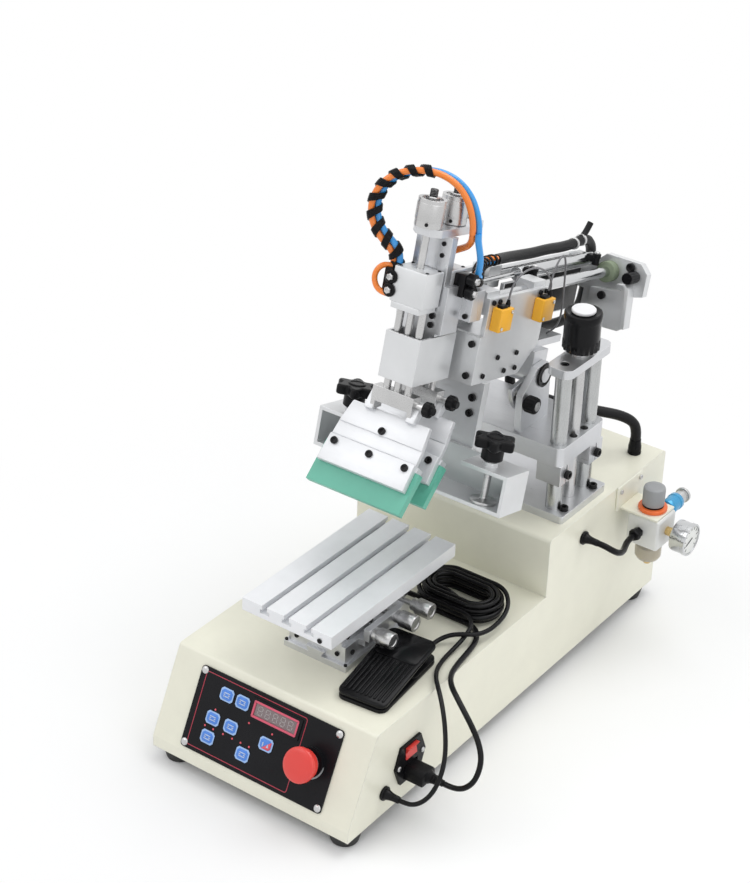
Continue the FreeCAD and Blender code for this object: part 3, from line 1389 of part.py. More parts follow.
def make_head():
    block = box((-S.block_half, S.block_half), (-S.block_front, -S.block_back), (S.block_low, S.block_high))
    pocket = box((-S.pocket_half, S.pocket_half), (-S.block_front - S.overrun, S.pocket_deep - S.block_front),
                 (S.block_low - S.overrun, S.block_high + S.overrun))
    bores = both(lambda hand: rod("y", (S.rod_x * hand, S.rod_z), -S.block_front - S.overrun,
                                  S.overrun - S.block_back, S.rod_radius))
    cheeks = both(lambda hand: box(span(hand, S.cheek_inner, S.cheek_inner + S.cheek_wide),
                                   (-S.spine_front, -S.block_front), (S.cheek_bottom, S.cheek_top)))
    spine = box((-S.spine_half, S.spine_half), (-S.spine_front, S.spine_thick - S.spine_front),
                (S.spine_neck_top, S.spine_top))
    neck = box((-S.spine_neck_half, S.spine_neck_half), (-S.spine_front, S.spine_thick - S.spine_front),
               (S.spine_low, S.spine_neck_top))
    node("carriage_block", [fuse(cut(block, pocket, *bores), spine, neck, *cheeks)], "arm")

    half = S.head_plate_half
    front = -S.top_plate_front
    back = -S.top_plate_back
    chamfer = S.head_plate_chamfer
    outline = [
        (chamfer - half, front), (half - chamfer, front), (half, front + chamfer), (half, back - half),
        (half / 2, back - half * S.head_notch_share), (-half / 2, back - half * S.head_notch_share),
        (-half, back - half),
        (-half, front + chamfer),
    ]
    plate = pad("z", outline, S.spine_top, S.spine_top + S.head_plate_thick)
    holes = [rod("z", (ZERO, -y), S.spine_top - S.overrun, S.spine_top + S.head_plate_thick + S.overrun,
                 S.guide_radius + S.running_fit) for y in (S.squeegee_y, S.flood_y)]
    node("head_top_plate", [cut(plate, *holes)], "arm")

    outer = box((-S.box_half, S.box_half), (-S.box_front, -S.box_back), (S.box_low, S.box_high))
    inside = box((S.box_wall - S.box_half, S.box_half - S.box_wall),
                 (S.box_wall - S.box_front, -S.box_back - S.box_wall),
                 (S.box_low - S.overrun, S.box_high + S.overrun))
    node("head_box", [cut(outer, inside)], "arm")

    pieces = []
    for y in (S.squeegee_y, S.flood_y):
        body = box((-S.cylinder_half, S.cylinder_half), (-y - S.cylinder_half_deep, S.cylinder_half_deep - y),
                   (S.cylinder_low, S.cylinder_high))
        foot = box((-S.cylinder_foot_half, S.cylinder_foot_half),
                   (-y - S.cylinder_half_deep, S.cylinder_half_deep - y),
                   (S.cylinder_low - S.cylinder_foot, S.cylinder_low))
        bores = [rod("z", (x, -y), S.cylinder_low - S.cylinder_foot - S.overrun, S.cylinder_high + S.overrun,
                     S.guide_radius + S.running_fit) for x in (S.guide_x, ZERO, -S.guide_x)]
        pieces.append(cut(fuse(body, foot), *bores))
    for hand in (1, -1):
        far = S.cylinder_half + S.port_long
        bend_x = far * hand
        port = rod("x", (-S.squeegee_y, S.port_z), *span(hand, S.cylinder_half, far), S.port_radius)
        elbow = rod("z", (bend_x, -S.squeegee_y), S.port_z - S.elbow_radius, S.port_z + S.elbow_high,
                    S.elbow_radius)
        pieces.append(fuse(port, elbow))
    node("head_cylinders", pieces, "arm")


def cup_outline():
    return [
        (ZERO, S.cup_low), (S.cup_radius, S.cup_low), (S.cup_radius, S.cup_high), (S.cup_rim, S.cup_high),
        (S.cup_rim, S.cup_high - S.overrun), (ZERO, S.cup_high - S.overrun),
    ]


def make_bar(prefix, y):
    """One bar of the head: its rods with yoke and cup, its holder and its blade."""
    guides = both(lambda hand: rod("z", (S.guide_x * hand, -y), -S.yoke_top, S.guide_top, S.guide_radius))
    centre = rod("z", (ZERO, -y), -S.yoke_top, S.centre_top, S.guide_radius)
    cup = lathe(cup_outline(), "z", (ZERO, -y))
    yoke = box((-S.yoke_half, S.yoke_half), (-y - S.yoke_deep, S.yoke_deep - y),
               (-S.yoke_bottom, -S.yoke_top))
    ears = both(lambda hand: box(span(hand, S.yoke_half, S.yoke_half + S.ear_thick),
                                 (-y - S.yoke_deep, S.yoke_deep - y), (-S.ear_bottom, -S.yoke_top)))
    node(prefix + "_rods", [fuse(yoke, centre, cup, *guides, *ears)], "arm")

    lean = FreeCAD.Rotation(FreeCAD.Vector(1, 0, 0), -float(S.holder_angle))

    def leaned(part):
        tilted = doc.addObject("Part::Compound", "Leaned")
        tilted.Links = [part]
        put(tilted, ZERO, -y - S.holder_top_y, -S.holder_top_z, lean)
        return tilted

    # In the holder's own plane: x across, z up along the plate, y behind its front face.
    long = S.holder_long
    outline = [
        (-S.holder_top_half, ZERO), (-S.holder_mid_half, -S.holder_fold), (-S.holder_half, -long),
        (S.holder_half, -long), (S.holder_mid_half, -S.holder_fold), (S.holder_top_half, ZERO),
    ]
    front = pad("y", outline, ZERO, S.holder_plate)
    blade_low = -long - S.blade_proud
    blade_high = S.blade_inside - long
    blade_front = S.holder_plate + S.blade_fit
    blade_back = blade_front + S.blade_thick
    clip = box((-S.holder_half, S.holder_half),
               (blade_back + S.blade_fit, blade_back + S.blade_fit + S.clip_thick),
               (-long, blade_high + S.clip_thick * 2))
    bridge = box((-S.holder_half, S.holder_half), (S.holder_plate, blade_back + S.blade_fit),
                 (blade_high + S.blade_fit, blade_high + S.clip_thick * 2))
    node(prefix + "_holder", [leaned(fuse(front, clip, bridge))], "arm")
    blade = box((-S.blade_half, S.blade_half), (blade_front, blade_back), (blade_low, blade_high))
    node(prefix + "_blade", [leaned(blade)], "arm")


def make_carrier():
    low = -S.carrier_bottom
    high = -S.carrier_top
    wall = S.carrier_wall
    half = S.carrier_half
    back = -S.carrier_back
    web = box((-half, half), (back - wall, back), (low, high))
    bottom = box((-half, half), (-S.carrier_front, back), (low, low + wall))
    ends = both(lambda hand: box(span(hand, half - wall, half), (-S.carrier_front, back), (low, high)))
    tops = both(lambda hand: box(span(hand, S.carrier_flange_inner, half), (-S.carrier_front, back),
                                 (high - wall, high)))
    nuts = both(lambda hand: rod("z", (S.clamp_x * hand, -S.clamp_y), high, high + S.clamp_nut_high,
                                 S.clamp_nut))
    bores = both(lambda hand: rod("z", (S.clamp_x * hand, -S.clamp_y), high - wall - S.overrun,
                                  high + S.clamp_nut_high + S.overrun, S.clamp_screw + S.running_fit))
    bracket = box((-S.bracket_half, S.bracket_half), (back, back + S.bracket_thick),
                  (low + S.bracket_thick, S.side_low))
    node("frame_carrier", [cut(fuse(web, bottom, *ends, *tops, *nuts), *bores), bracket], "arm")

    for name, hand in (("frame_clamp_right", 1), ("frame_clamp_left", -1)):
        x = S.clamp_x * hand
        foot_low = low + wall + S.soft_gap
        outline = [
            (ZERO, foot_low), (S.clamp_foot, foot_low), (S.clamp_foot, foot_low + S.clamp_foot_thick),
            (S.clamp_screw, foot_low + S.clamp_foot_thick), (S.clamp_screw, -S.star_low),
            (S.star_core, -S.star_low), (S.star_core, -S.star_high), (ZERO, -S.star_high),
        ]
        core = lathe(outline, "z", (x, -S.clamp_y))
        lobes = []
        for number in range(int(float(S.star_lobes))):
            angle = 2 * math.pi * number / float(S.star_lobes)
            middle = (x + S.star_lobe_out * math.cos(angle), S.star_lobe_out * math.sin(angle) - S.clamp_y)
            lobes.append(rod("z", middle, -S.star_low + S.overrun, -S.star_high - S.overrun, S.star_lobe))
        node(name, [fuse(core, *lobes)], "arm")


def make_air_unit():
    wall = S.casing_half
    x = wall + S.air_out
    y = S.air_y
    half = S.air_half
    gauge_front = wall + S.gauge_out
    plate = box((wall, wall + S.bracket_wall), (y - S.bracket_half_long, y + S.bracket_half_long),
                (S.bracket_low, S.bracket_high))
    shelf = box((wall, wall + S.bracket_reach), (y - half, y + half),
                (S.bracket_low, S.bracket_low + S.bracket_wall))
    passage = rod("z", (x, y), S.bracket_low - S.overrun, S.bracket_low + S.bracket_wall + S.overrun,
                  S.air_neck + S.loose_fit)
    body = pad("z", [(x - half, y - half), (x + half, y - half), (x + half, y + half), (x - half, y + half)],
               S.air_body_low, S.bracket_low)
    body = rounded(body, S.panel_corner, upright)
    neck = rod("z", (x, y), S.bracket_low, S.air_knob_low - S.soft_gap, S.air_neck)
    ring_low = S.bracket_low + S.bracket_wall
    ring = rod("z", (x, y), ring_low, ring_low + S.air_ring_high, S.air_ring)
    front_port = rod("y", (wall + S.port_front_out, S.port_front_z), y - half - S.air_port_long, y - half,
                     S.air_port_radius)
    core = rod("y", (x, S.valve_z), y + half, S.valve_back, S.valve_core)
    flanges = [rod("y", (x, S.valve_z), S.valve_front - S.valve_flange_thick, S.valve_front, S.valve_flange),
               rod("y", (x, S.valve_z), S.valve_back, S.valve_back + S.valve_flange_thick, S.valve_flange)]
    stem = rod("x", (y, S.gauge_z), x + half, gauge_front - S.gauge_thick, S.gauge_stem)
    regulator = fuse(body, neck, ring, front_port, core, stem, *flanges)
    bracket = cut(fuse(plate, shelf), passage)
    bowl_top = S.air_body_low
    bend = S.bowl_radius * 0.5
    bowl = lathe([
        (ZERO, S.bowl_low), (bend, S.bowl_low), (S.bowl_radius, S.bowl_low + bend), (S.bowl_radius, bowl_top),
        (S.bowl_radius - S.bowl_wall, bowl_top), (S.bowl_radius - S.bowl_wall, S.bowl_low + bend),
        (bend, S.bowl_low + S.bowl_wall), (ZERO, S.bowl_low + S.bowl_wall),
    ], "z", (x, y))
    drain = rod("z", (x, y), S.drain_low, S.bowl_low, S.drain_radius)
    node("air_regulator", [regulator, bracket, bowl, drain])

    outline = [
        (ZERO, S.air_knob_low), (S.air_knob_radius, S.air_knob_low),
        (S.air_knob_radius, S.air_knob_high - S.overrun), (S.air_knob_radius - S.overrun, S.air_knob_high),
        (ZERO, S.air_knob_high),
    ]
    node("regulator_knob", [lathe(outline, "z", (x, y))])

    sleeve = rod("y", (x, S.valve_z), S.valve_sleeve_front, S.valve_sleeve_back, S.valve_sleeve)
    bore = rod("y", (x, S.valve_z), S.valve_sleeve_front - S.overrun, S.valve_sleeve_back + S.overrun,
               S.valve_core + S.running_fit)
    node("slide_valve", [cut(sleeve, bore)])

    start = gauge_front - S.gauge_thick
    rim = S.gauge_radius - S.gauge_rim
    outline = [
        (ZERO, start), (rim, start), (S.gauge_radius, start + S.gauge_rim),
        (S.gauge_radius, gauge_front), (rim, gauge_front), (rim, gauge_front - S.gauge_rim),
        (ZERO, gauge_front - S.gauge_rim),
    ]
    node("pressure_gauge", [lathe(outline, "x", (y, S.gauge_z))])


def make_hoses():
    back = SIZES["column_y"]
    side = [
        (FLANK + 18.0, 424.0, 164.0), (FLANK + 27.0, 424.0, 164.0), (FLANK + 35.0, 427.0, 160.0),
        (FLANK + 38.5, 435.5, 153.5), (FLANK + 37.5, 447.5, 148.0), (FLANK + 33.0, 460.0, 146.5),
        (FLANK + 29.0, 472.5, 147.0), (FLANK + 29.0, 485.0, 147.0),
    ]
    rise = [
        (FLANK - 25.0, 571.0, 213.0), (FLANK - 25.0, 571.0, 225.0), (98.5, 566.5, 237.0),
        (88.0, back + 121.0, 246.5), (72.0, back + 106.0, 252.0), (52.0, back + 91.0, 256.5),
        (30.0, back + 78.0, 261.0), (11.0, back + 69.5, 265.5), (-4.0, back + 63.5, 265.5),
    ]
    node("air_hose", [tube(side, S.hose_radius, "side hose"), tube(rise, S.bundle_radius, "rising hose")])
    climb = [
        (-4.42, back + 63.33, 265.5), (-10.64, back + 60.84, 265.5), (-17.85, back + 59.2, 269.65),
        (-22.0, back + 59.2, 276.85), (-22.0, back + 60.4, 290.0), (-22.0, back + 63.9, 303.8),
    ]
    node("slab_hose", [tube(climb, S.bundle_radius, "slab hose")])
    under = [
        (-22.0, 70.0, -17.0), (-22.0, 70.0, -4.0), (-22.0, 75.0, 8.0), (-22.0, 87.0, 15.0),
        (-21.8, 102.0, 16.5), (-21.0, 122.0, 15.5), (-19.5, 143.0, 15.0), (-17.5, 162.0, 17.5),
        (-15.5, 178.0, 24.0), (-14.2, 187.0, 35.5), (-14.0, 189.0, 48.0), (-14.0, 189.0, 60.0),
    ]
    node("arm_hose", [tube(under, S.bundle_radius, "arm hose")], "arm")
    over = [
        (-14.0, 189.0, 60.4), (-14.0, 189.0, 74.0), (-14.0, 188.5, 90.0), (-14.0, 184.5, 104.0),
        (-14.0, 174.0, 113.0), (-14.0, 160.0, 115.0), (-14.0, 141.0, 112.0), (-14.0, 114.0, 110.5),
        (-14.0, 82.0, 111.5), (-13.8, 50.0, 110.5), (-13.0, 16.0, 111.5), (-10.0, -16.0, 113.5),
        (-4.0, -45.0, 116.0),
    ]
    loop = [
        (-28.0, -199.0, 119.3), (-28.0, -199.0, 129.0), (-32.5, -202.0, 138.5), (-42.0, -206.0, 147.0),
        (-50.0, -209.5, 159.0), (-54.0, -211.0, 175.0), (-51.0, -209.0, 192.0), (-41.0, -203.0, 206.0),
        (-25.0, -192.5, 214.5), (-7.0, -181.0, 215.0), (9.0, -171.0, 208.0), (21.0, -163.0, 195.0),
        (29.0, -158.5, 179.0), (33.5, -155.5, 161.0), (33.0, -150.0, 143.0), (25.5, -138.0, 131.0),
        (13.0, -117.0, 124.0), (2.0, -90.0, 119.5), (-2.6, -65.0, 117.4), (-4.0, -46.0, 116.1),
    ]
    node("air_tubes", [tube(over, S.bundle_radius, "hose over the barrel"),
                       tube(loop, S.tube_radius * 1.5, "loop over the head")], "arm")


def make_inside():
    floor = S.casing_under + S.pan_wall
    supply = box((-S.supply_x - S.supply_half, S.supply_half - S.supply_x), (S.supply_front, S.supply_back),
                 (floor, floor + S.supply_high))
    block = box((S.manifold_x - S.manifold_half, S.manifold_x + S.manifold_half),
                (S.manifold_front, S.manifold_back), (floor, floor + S.manifold_high))
    middle = (S.manifold_front + S.manifold_back) / 2
    coils = []
    for number in range(int(float(S.coil_count))):
        place = S.manifold_x + S.coil_pitch * (number - (float(S.coil_count) - 1) / 2)
        coils.append(box((place - S.coil_half, place + S.coil_half),
                         (middle - S.coil_half, middle + S.coil_half),
                         (floor + S.manifold_high, floor + S.manifold_high + S.coil_high)))
    board = box((-S.board_half, S.board_half), (S.board_front, S.board_back), (floor, floor + S.board_high))
    node("control_gear", [supply, fuse(block, *coils), board])


make_casing()
make_base_pan()
make_feet()
make_panel()
make_estop()
make_inlet()
make_rocker()
make_glands()
make_plugs()
make_cords()
make_pedal()
make_stage()
make_table()
make_column()
make_lift()
make_lugs()
make_arm()
make_stroke()
make_head()
make_bar("squeegee", S.squeegee_y)
make_bar("flood", S.flood_y)
make_carrier()
make_air_unit()
make_hoses()
make_inside()

doc.recompute()
for item in doc.Objects:
    if "Invalid" in item.State or "Error" in item.State:
        raise RuntimeError("%s is in state %s" % (item.Label, item.State))
for group in NODES:
    shape = group.Shape
    if shape.isNull() or not shape.isValid() or not shape.Solids:
        raise RuntimeError("%s has no valid solid" % group.Label)

os.makedirs("parts", exist_ok=True)
for group in NODES:
    solids = group.Shape.Solids
    whole = solids[0] if len(solids) == 1 else Part.makeCompound(solids)
    whole.exportStep("parts/%s.step" % group.Label)
bounds = [group.Shape.BoundBox for group in NODES]
print("%d nodes, x %.2f to %.2f, y %.2f to %.2f, z %.2f to %.2f" % (
    len(NODES), min(b.XMin for b in bounds), max(b.XMax for b in bounds), min(b.YMin for b in bounds),
    max(b.YMax for b in bounds), min(b.ZMin for b in bounds), max(b.ZMax for b in bounds)))
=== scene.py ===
"""Finish of a bench top screen printing press: its colours, materials, cords and small fittings."""

import itertools
import math

import bpy
from bpy.props import FloatProperty, FloatVectorProperty, PointerProperty
from mathutils import Matrix, Vector


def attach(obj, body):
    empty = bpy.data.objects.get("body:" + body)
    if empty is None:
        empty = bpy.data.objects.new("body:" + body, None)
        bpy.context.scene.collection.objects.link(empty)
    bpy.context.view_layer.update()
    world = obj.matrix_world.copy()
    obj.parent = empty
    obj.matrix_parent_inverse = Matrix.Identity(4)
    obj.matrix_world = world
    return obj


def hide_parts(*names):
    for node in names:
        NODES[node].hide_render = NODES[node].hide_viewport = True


bl_info = {
    "name": "Screen press finish",
    "version": (1, 0, 0),
    "blender": (4, 5, 0),
    "location": "3D View > Sidebar > Screen press",
    "description": "Colours, cords and small fittings of a bench top screen printing press",
    "category": "Object",
}

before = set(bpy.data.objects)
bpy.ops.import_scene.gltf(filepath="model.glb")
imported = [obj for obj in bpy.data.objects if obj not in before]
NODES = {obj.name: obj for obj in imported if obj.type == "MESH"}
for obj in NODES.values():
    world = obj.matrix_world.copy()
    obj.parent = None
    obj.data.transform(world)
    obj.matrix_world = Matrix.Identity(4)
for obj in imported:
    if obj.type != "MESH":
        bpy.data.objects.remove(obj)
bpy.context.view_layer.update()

# Places are written in millimetres, in the frame of the casing, the slope, the pedal or the arm.
MM = 0.001
CASING = Matrix.Translation((-0.0425, -0.31857, 0)) @ Matrix.Scale(MM, 4)
SLOPE_RISE, SLOPE_RUN = 93.5, 45.5
SLOPE = CASING @ Matrix.Translation((0, 0, 29)) @ Matrix.Rotation(math.atan2(SLOPE_RISE, SLOPE_RUN), 4, "X")
PEDAL = CASING @ Matrix.Translation((79, 127, 122.5)) @ Matrix.Rotation(math.radians(5.36), 4, "Z")
ARM = CASING @ Matrix.Translation((0, 433, 338)) @ Matrix.Rotation(-math.radians(14), 4, "X")
SQUEEGEE_Y, FLOOD_Y = -199, -155
HOLDER_LEAN = Matrix.Rotation(-math.radians(33.8), 4, "X")
SQUEEGEE_PLATE = ARM @ Matrix.Translation((0, SQUEEGEE_Y - 2, -29)) @ HOLDER_LEAN
FLOOD_PLATE = ARM @ Matrix.Translation((0, FLOOD_Y - 2, -29)) @ HOLDER_LEAN

AXES = {
    "z": Matrix.Identity(4),
    "x": Matrix.Rotation(math.radians(90), 4, "Y"),
    "-x": Matrix.Rotation(math.radians(-90), 4, "Y"),
    "y": Matrix.Rotation(math.radians(-90), 4, "X"),
    "-y": Matrix.Rotation(math.radians(90), 4, "X"),
}

# Looks: a finish and a slot name.
STEEL = ("turned steel", "steel")
ZINC = ("turned steel", "zinc_steel")
OXIDE = ("black oxide", "steel")
PLATE = ("anodised plate", "machined_aluminium")
HOLDER = ("holder plate", "machined_aluminium")
BLACK = ("moulded black", "black_plastic")
GLOSS = ("gloss black", "black_plastic")
GREY = ("knob grey", "grey_plastic")
JACKET = ("cord jacket", "cord_jacket")
SLEEVE = ("woven sleeve", "hose_black")
WRAP = ("gloss black", "hose_black")
ORANGE = ("tube orange", "hose_black")
BLUE = ("tube blue", "hose_black")
LEAD = ("lead grey", "hose_black")


# Modelling by hand: start a primitive, shape it, set it in its frame.

def mode(name):
    bpy.ops.object.mode_set(mode=name)


def clear():
    """Leave edit mode and select nothing."""
    if bpy.context.object and bpy.context.object.mode != "OBJECT":
        mode("OBJECT")
    bpy.ops.object.select_all(action="DESELECT")


def pick(piece):
    clear()
    piece.select_set(True)
    bpy.context.view_layer.objects.active = piece


def bevelled(piece, width, steps, angle):
    """Break the edges sharper than an angle."""
    pick(piece)
    modifier = piece.modifiers.new("Bevel", "BEVEL")
    modifier.width = width * MM
    modifier.segments = steps
    modifier.limit_method = "ANGLE"
    modifier.angle_limit = math.radians(angle)
    bpy.ops.object.modifier_apply(modifier=modifier.name)


def seated(piece, name, place, bevel=0.0, steps=2):
    """Name a piece, set it in its frame, apply its place and break its edges."""
    pick(piece)
    piece.name = name
    piece.matrix_world = place @ piece.matrix_world
    bpy.ops.object.transform_apply(location=True, rotation=True, scale=True)
    if bevel:
        bevelled(piece, bevel, steps, 35)
    pick(piece)
    mode("EDIT")
    bpy.ops.mesh.select_all(action="SELECT")
    bpy.ops.mesh.normals_make_consistent(inside=False)
    mode("OBJECT")
    bpy.ops.object.shade_smooth_by_angle(angle=math.radians(38))
    return piece


def extruded(height):
    bpy.ops.mesh.extrude_region_move(TRANSFORM_OT_translate={"value": (0, 0, height)})


def resized(share, height):
    bpy.ops.transform.resize(value=(share, share, 1), center_override=(0, 0, height))


def block(name, low, high, place=CASING, bevel=0.5, steps=2):
    """A block between two corners."""
    clear()
    bpy.ops.mesh.primitive_cube_add(size=1, location=[(a + b) / 2 for a, b in zip(low, high)],
                                    scale=[b - a for a, b in zip(low, high)])
    return seated(bpy.context.object, name, place, bevel, steps)


def turned(name, outline, place, sides, flutes):
    """A round piece: a disc drawn out ring by ring. The outline gives (radius, height) in turn.

    flutes gives (first height, last height, share): every other corner there is drawn in."""
    clear()
    radius, height = outline[0]
    bpy.ops.mesh.primitive_circle_add(vertices=sides, radius=radius, fill_type="NGON", location=(0, 0, height))
    piece = bpy.context.object
    bpy.ops.object.transform_apply(location=True, rotation=False, scale=False)
    mode("EDIT")
    bpy.ops.mesh.select_all(action="SELECT")
    for next_radius, next_height in outline[1:]:
        extruded(next_height - height)
        resized(next_radius / radius, next_height)
        radius, height = next_radius, next_height
    mode("OBJECT")
    if flutes:
        low, high, share = flutes
        for vertex in piece.data.vertices:
            corner = math.degrees(math.atan2(vertex.co.y, vertex.co.x)) % 360 / (360 / sides)
            vertex.select = round(corner) % 2 == 1 and low - 0.01 <= vertex.co.z <= high + 0.01
        for part in (*piece.data.edges, *piece.data.polygons):
            part.select = False
        mode("EDIT")
        bpy.ops.mesh.select_mode(type="VERT")
        resized(share, 0)
        mode("OBJECT")
    return seated(piece, name, place)


def rings(count, step, outline, widening=0.0):
    """An outline repeated up a turned piece, a little wider each time."""
    return [(radius + widening * ring, height + step * ring) for ring in range(count) for radius, height in outline]


def flat(points, height):
    """A flat face of any outline."""
    clear()
    bpy.ops.mesh.primitive_circle_add(vertices=len(points), radius=1, fill_type="NGON")
    piece = bpy.context.object
    for vertex, point in zip(piece.data.vertices, points):
        vertex.co = (*point, height)
    return piece


def outlined(name, points, low, high, place, bevel):
    """A plate of any outline, drawn out from its face."""
    piece = flat(points, low)
    mode("EDIT")
    bpy.ops.mesh.select_all(action="SELECT")
    extruded(high - low)
    mode("OBJECT")
    return seated(piece, name, place, bevel)


def line_frame(name, points, width, low, high, place):
    """A closed line: an outline, inset, its middle taken out, drawn up."""
    piece = flat(points, low)
    mode("EDIT")
    bpy.ops.mesh.select_mode(type="FACE")
    bpy.ops.mesh.select_all(action="SELECT")
    bpy.ops.mesh.inset(thickness=width)
    bpy.ops.mesh.delete(type="FACE")
    bpy.ops.mesh.select_all(action="SELECT")
    extruded(high - low)
    mode("OBJECT")
    return seated(piece, name, place)


def corner_points(low, high, corner):
    """A rectangle with round corners, as points."""
    points = []
    for x, y, start in ((high[0] - corner, low[1] + corner, -90), (high[0] - corner, high[1] - corner, 0),
                        (low[0] + corner, high[1] - corner, 90), (low[0] + corner, low[1] + corner, 180)):
        for step in range(5):
            angle = math.radians(start + 22.5 * step)
            points.append((x + corner * math.cos(angle), y + corner * math.sin(angle)))
    return points


def socket_screw(name, place, radius, high):
    """A socket head screw: a round head with a six-sided recess."""
    clear()
    bpy.ops.mesh.primitive_cylinder_add(vertices=24, radius=radius, depth=high, location=(0, 0, high / 2))
    piece = bpy.context.object
    bpy.ops.object.transform_apply(location=True, rotation=False, scale=False)
    for face in piece.data.polygons:
        face.select = face.normal.z > 0.9
    mode("EDIT")
    bpy.ops.mesh.select_mode(type="FACE")
    bpy.ops.mesh.inset(thickness=radius * 0.15)
    bpy.ops.mesh.inset(thickness=radius * 0.33)
    extruded(-high * 0.6)
    mode("OBJECT")
    return seated(piece, name, place, radius * 0.12, 1)


def copied(piece, name, shift):
    """A copy of a piece with its own mesh, moved by a step in metres."""
    pick(piece)
    bpy.ops.object.duplicate()
    copy = bpy.context.object
    copy.data.transform(Matrix.Translation(shift))
    copy.name = name


def joined(pieces, name):
    """Several pieces as one object."""
    clear()
    for piece in pieces:
        piece.select_set(True)
    bpy.context.view_layer.objects.active = pieces[0]
    bpy.ops.object.join()
    pieces[0].name = name
    return pieces[0]


def bars(name, rows, low, high, bevel=0.1, steps=2):
    """Flat bars on the panel as one piece. A row gives a bar's middle, width and height."""
    return joined([block(name, (x - wide / 2, y - tall / 2, low), (x + wide / 2, y + tall / 2, high), SLOPE,
                         bevel, steps) for x, y, wide, tall in rows], name)


def route(name, points, radius, place, sides):
    """A cord on one smooth line through the route's points."""
    line = bpy.data.curves.new(name, "CURVE")
    line.dimensions = "3D"
    line.bevel_depth = radius * MM
    line.bevel_resolution = sides
    line.resolution_u = 8
    line.use_fill_caps = True
    spline = line.splines.new("NURBS")
    spline.points.add(len(points) - 1)
    for control, point in zip(spline.points, points):
        control.co = (*(place @ Vector(point)), 1)
    spline.order_u = 3
    spline.use_endpoint_u = True
    piece = bpy.data.objects.new(name, line)
    bpy.context.scene.collection.objects.link(piece)
    return piece


def evenly(points, step):
    """Points at even steps along a line."""
    found = [points[0]]
    left = step
    for first, second in zip(points, points[1:]):
        span = (second - first).length
        done = 0.0
        while span - done >= left:
            done += left
            found.append(first.lerp(second, done / span))
            left = step
        left -= span - done
    return found


def guide_points(points):
    """Points in metres, a millimetre apart, along the smooth line of a route on the arm."""
    guide = route("guide_line", points, 0, ARM, 0)
    bpy.context.view_layer.update()
    mesh = bpy.data.meshes.new_from_object(guide.evaluated_get(bpy.context.evaluated_depsgraph_get()))
    found = evenly([vertex.co.copy() for vertex in mesh.vertices], MM)
    bpy.data.curves.remove(guide.data)
    bpy.data.meshes.remove(mesh)
    return found


def helix(points, radius, pitch, phase, spread=0.0, pair=None):
    """Points that wind about a line.

    spread lengthens the winding along a pair of tubes of that phase and pitch."""
    found = []
    side = Vector((0, 0, 1))
    travelled = 0.0
    for index, point in enumerate(points):
        before, after = points[max(index - 1, 0)], points[min(index + 1, len(points) - 1)]
        along = (after - before).normalized()
        if index:
            travelled += (point - before).length
        side = (side - along * side.dot(along)).normalized()
        angle = phase + 2 * math.pi * travelled / pitch
        reach = radius
        if pair:
            reach += spread * abs(math.cos(angle - pair[0] - 2 * math.pi * travelled / pair[1]))
        found.append(point + (side * math.cos(angle) + along.cross(side) * math.sin(angle)) * reach)
    return found


def places(at):
    """A list of places as it is. Otherwise three coordinates, each one number or several, as a grid."""
    if isinstance(at, list) or not at:
        return at
    return list(itertools.product(*(value if isinstance(value, tuple) else (value,) for value in at)))


def painted(piece, finish_name):
    piece.data.materials.clear()
    piece.data.materials.append(bpy.data.materials[finish_name])


class Bench:
    """A frame to make pieces in, with the body, the look and the replaced nodes that they share.

    A piece that differs names its own body, look or nodes."""

    def __init__(self, body, look=BLACK, nodes="", place=CASING):
        self.shared = {"body": body, "look": look, "nodes": nodes}
        self.place = place

    def fit(self, piece, at=(), **own):
        """Give a piece its finish and its body, and copy it to further places."""
        values = {**self.shared, **own}
        look = values["look"]
        finish_name, slot = look if isinstance(look, tuple) else (look, self.shared["look"][1])
        painted(piece, finish_name)
        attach(piece, values["body"])
        if values["nodes"]:
            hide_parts(*values["nodes"].split())
        spots = [self.place @ Vector(spot) for spot in places(at)]
        for number, spot in enumerate(spots[1:], start=2):
            copied(piece, "%s_%d" % (piece.name, number), spot - spots[0])
        return piece

    def turned(self, name, outline, at=(0, 0, 0), axis="z", sides=48, flutes=None, **own):
        where = self.place @ Matrix.Translation(places(at)[0]) @ AXES[axis]
        return self.fit(turned(name, outline, where, sides, flutes), at, **own)

    def block(self, name, low, high, bevel=0.5, steps=2, at=(), **own):
        return self.fit(block(name, low, high, self.place, bevel, steps), at, **own)

    def outlined(self, name, points, low, high, bevel=0.4, axis="z", at=(), **own):
        return self.fit(outlined(name, points, low, high, self.place @ AXES[axis], bevel), at, **own)

    def screws(self, name, at, axis, radius, high, look=OXIDE, **own):
        where = self.place @ Matrix.Translation(places(at)[0]) @ AXES[axis]
        return self.fit(socket_screw(name, where, radius, high), at, look=look, nodes="", **own)

    def tube(self, name, points, radius, sides=3, **own):
        return self.fit(route(name, points, radius, self.place, sides), **own)


# Shader groups that several finishes share.

def group(name, inputs, outputs):
    tree = bpy.data.node_groups.new(name, "ShaderNodeTree")
    for label, kind, default in inputs:
        tree.interface.new_socket(label, in_out="INPUT", socket_type="NodeSocket" + kind).default_value = default
    for label, kind in outputs:
        tree.interface.new_socket(label, in_out="OUTPUT", socket_type="NodeSocket" + kind)
    return tree, tree.nodes.new("NodeGroupInput"), tree.nodes.new("NodeGroupOutput")


def feed(tree, node, inputs):
    """Set each input of a node to its number, or link it to its socket."""
    for label, value in inputs.items():
        if isinstance(value, bpy.types.NodeSocket):
            tree.links.new(value, node.inputs[label])
        else:
            node.inputs[label].default_value = value


def add(tree, kind, inputs=None, **settings):
    node = tree.nodes.new("ShaderNode" + kind)
    for name, value in settings.items():
        setattr(node, name, value)
    feed(tree, node, inputs or {})
    return node


def maths(tree, operation, first, second, clamp=False):
    return add(tree, "Math", {0: first, 1: second}, operation=operation, use_clamp=clamp).outputs[0]


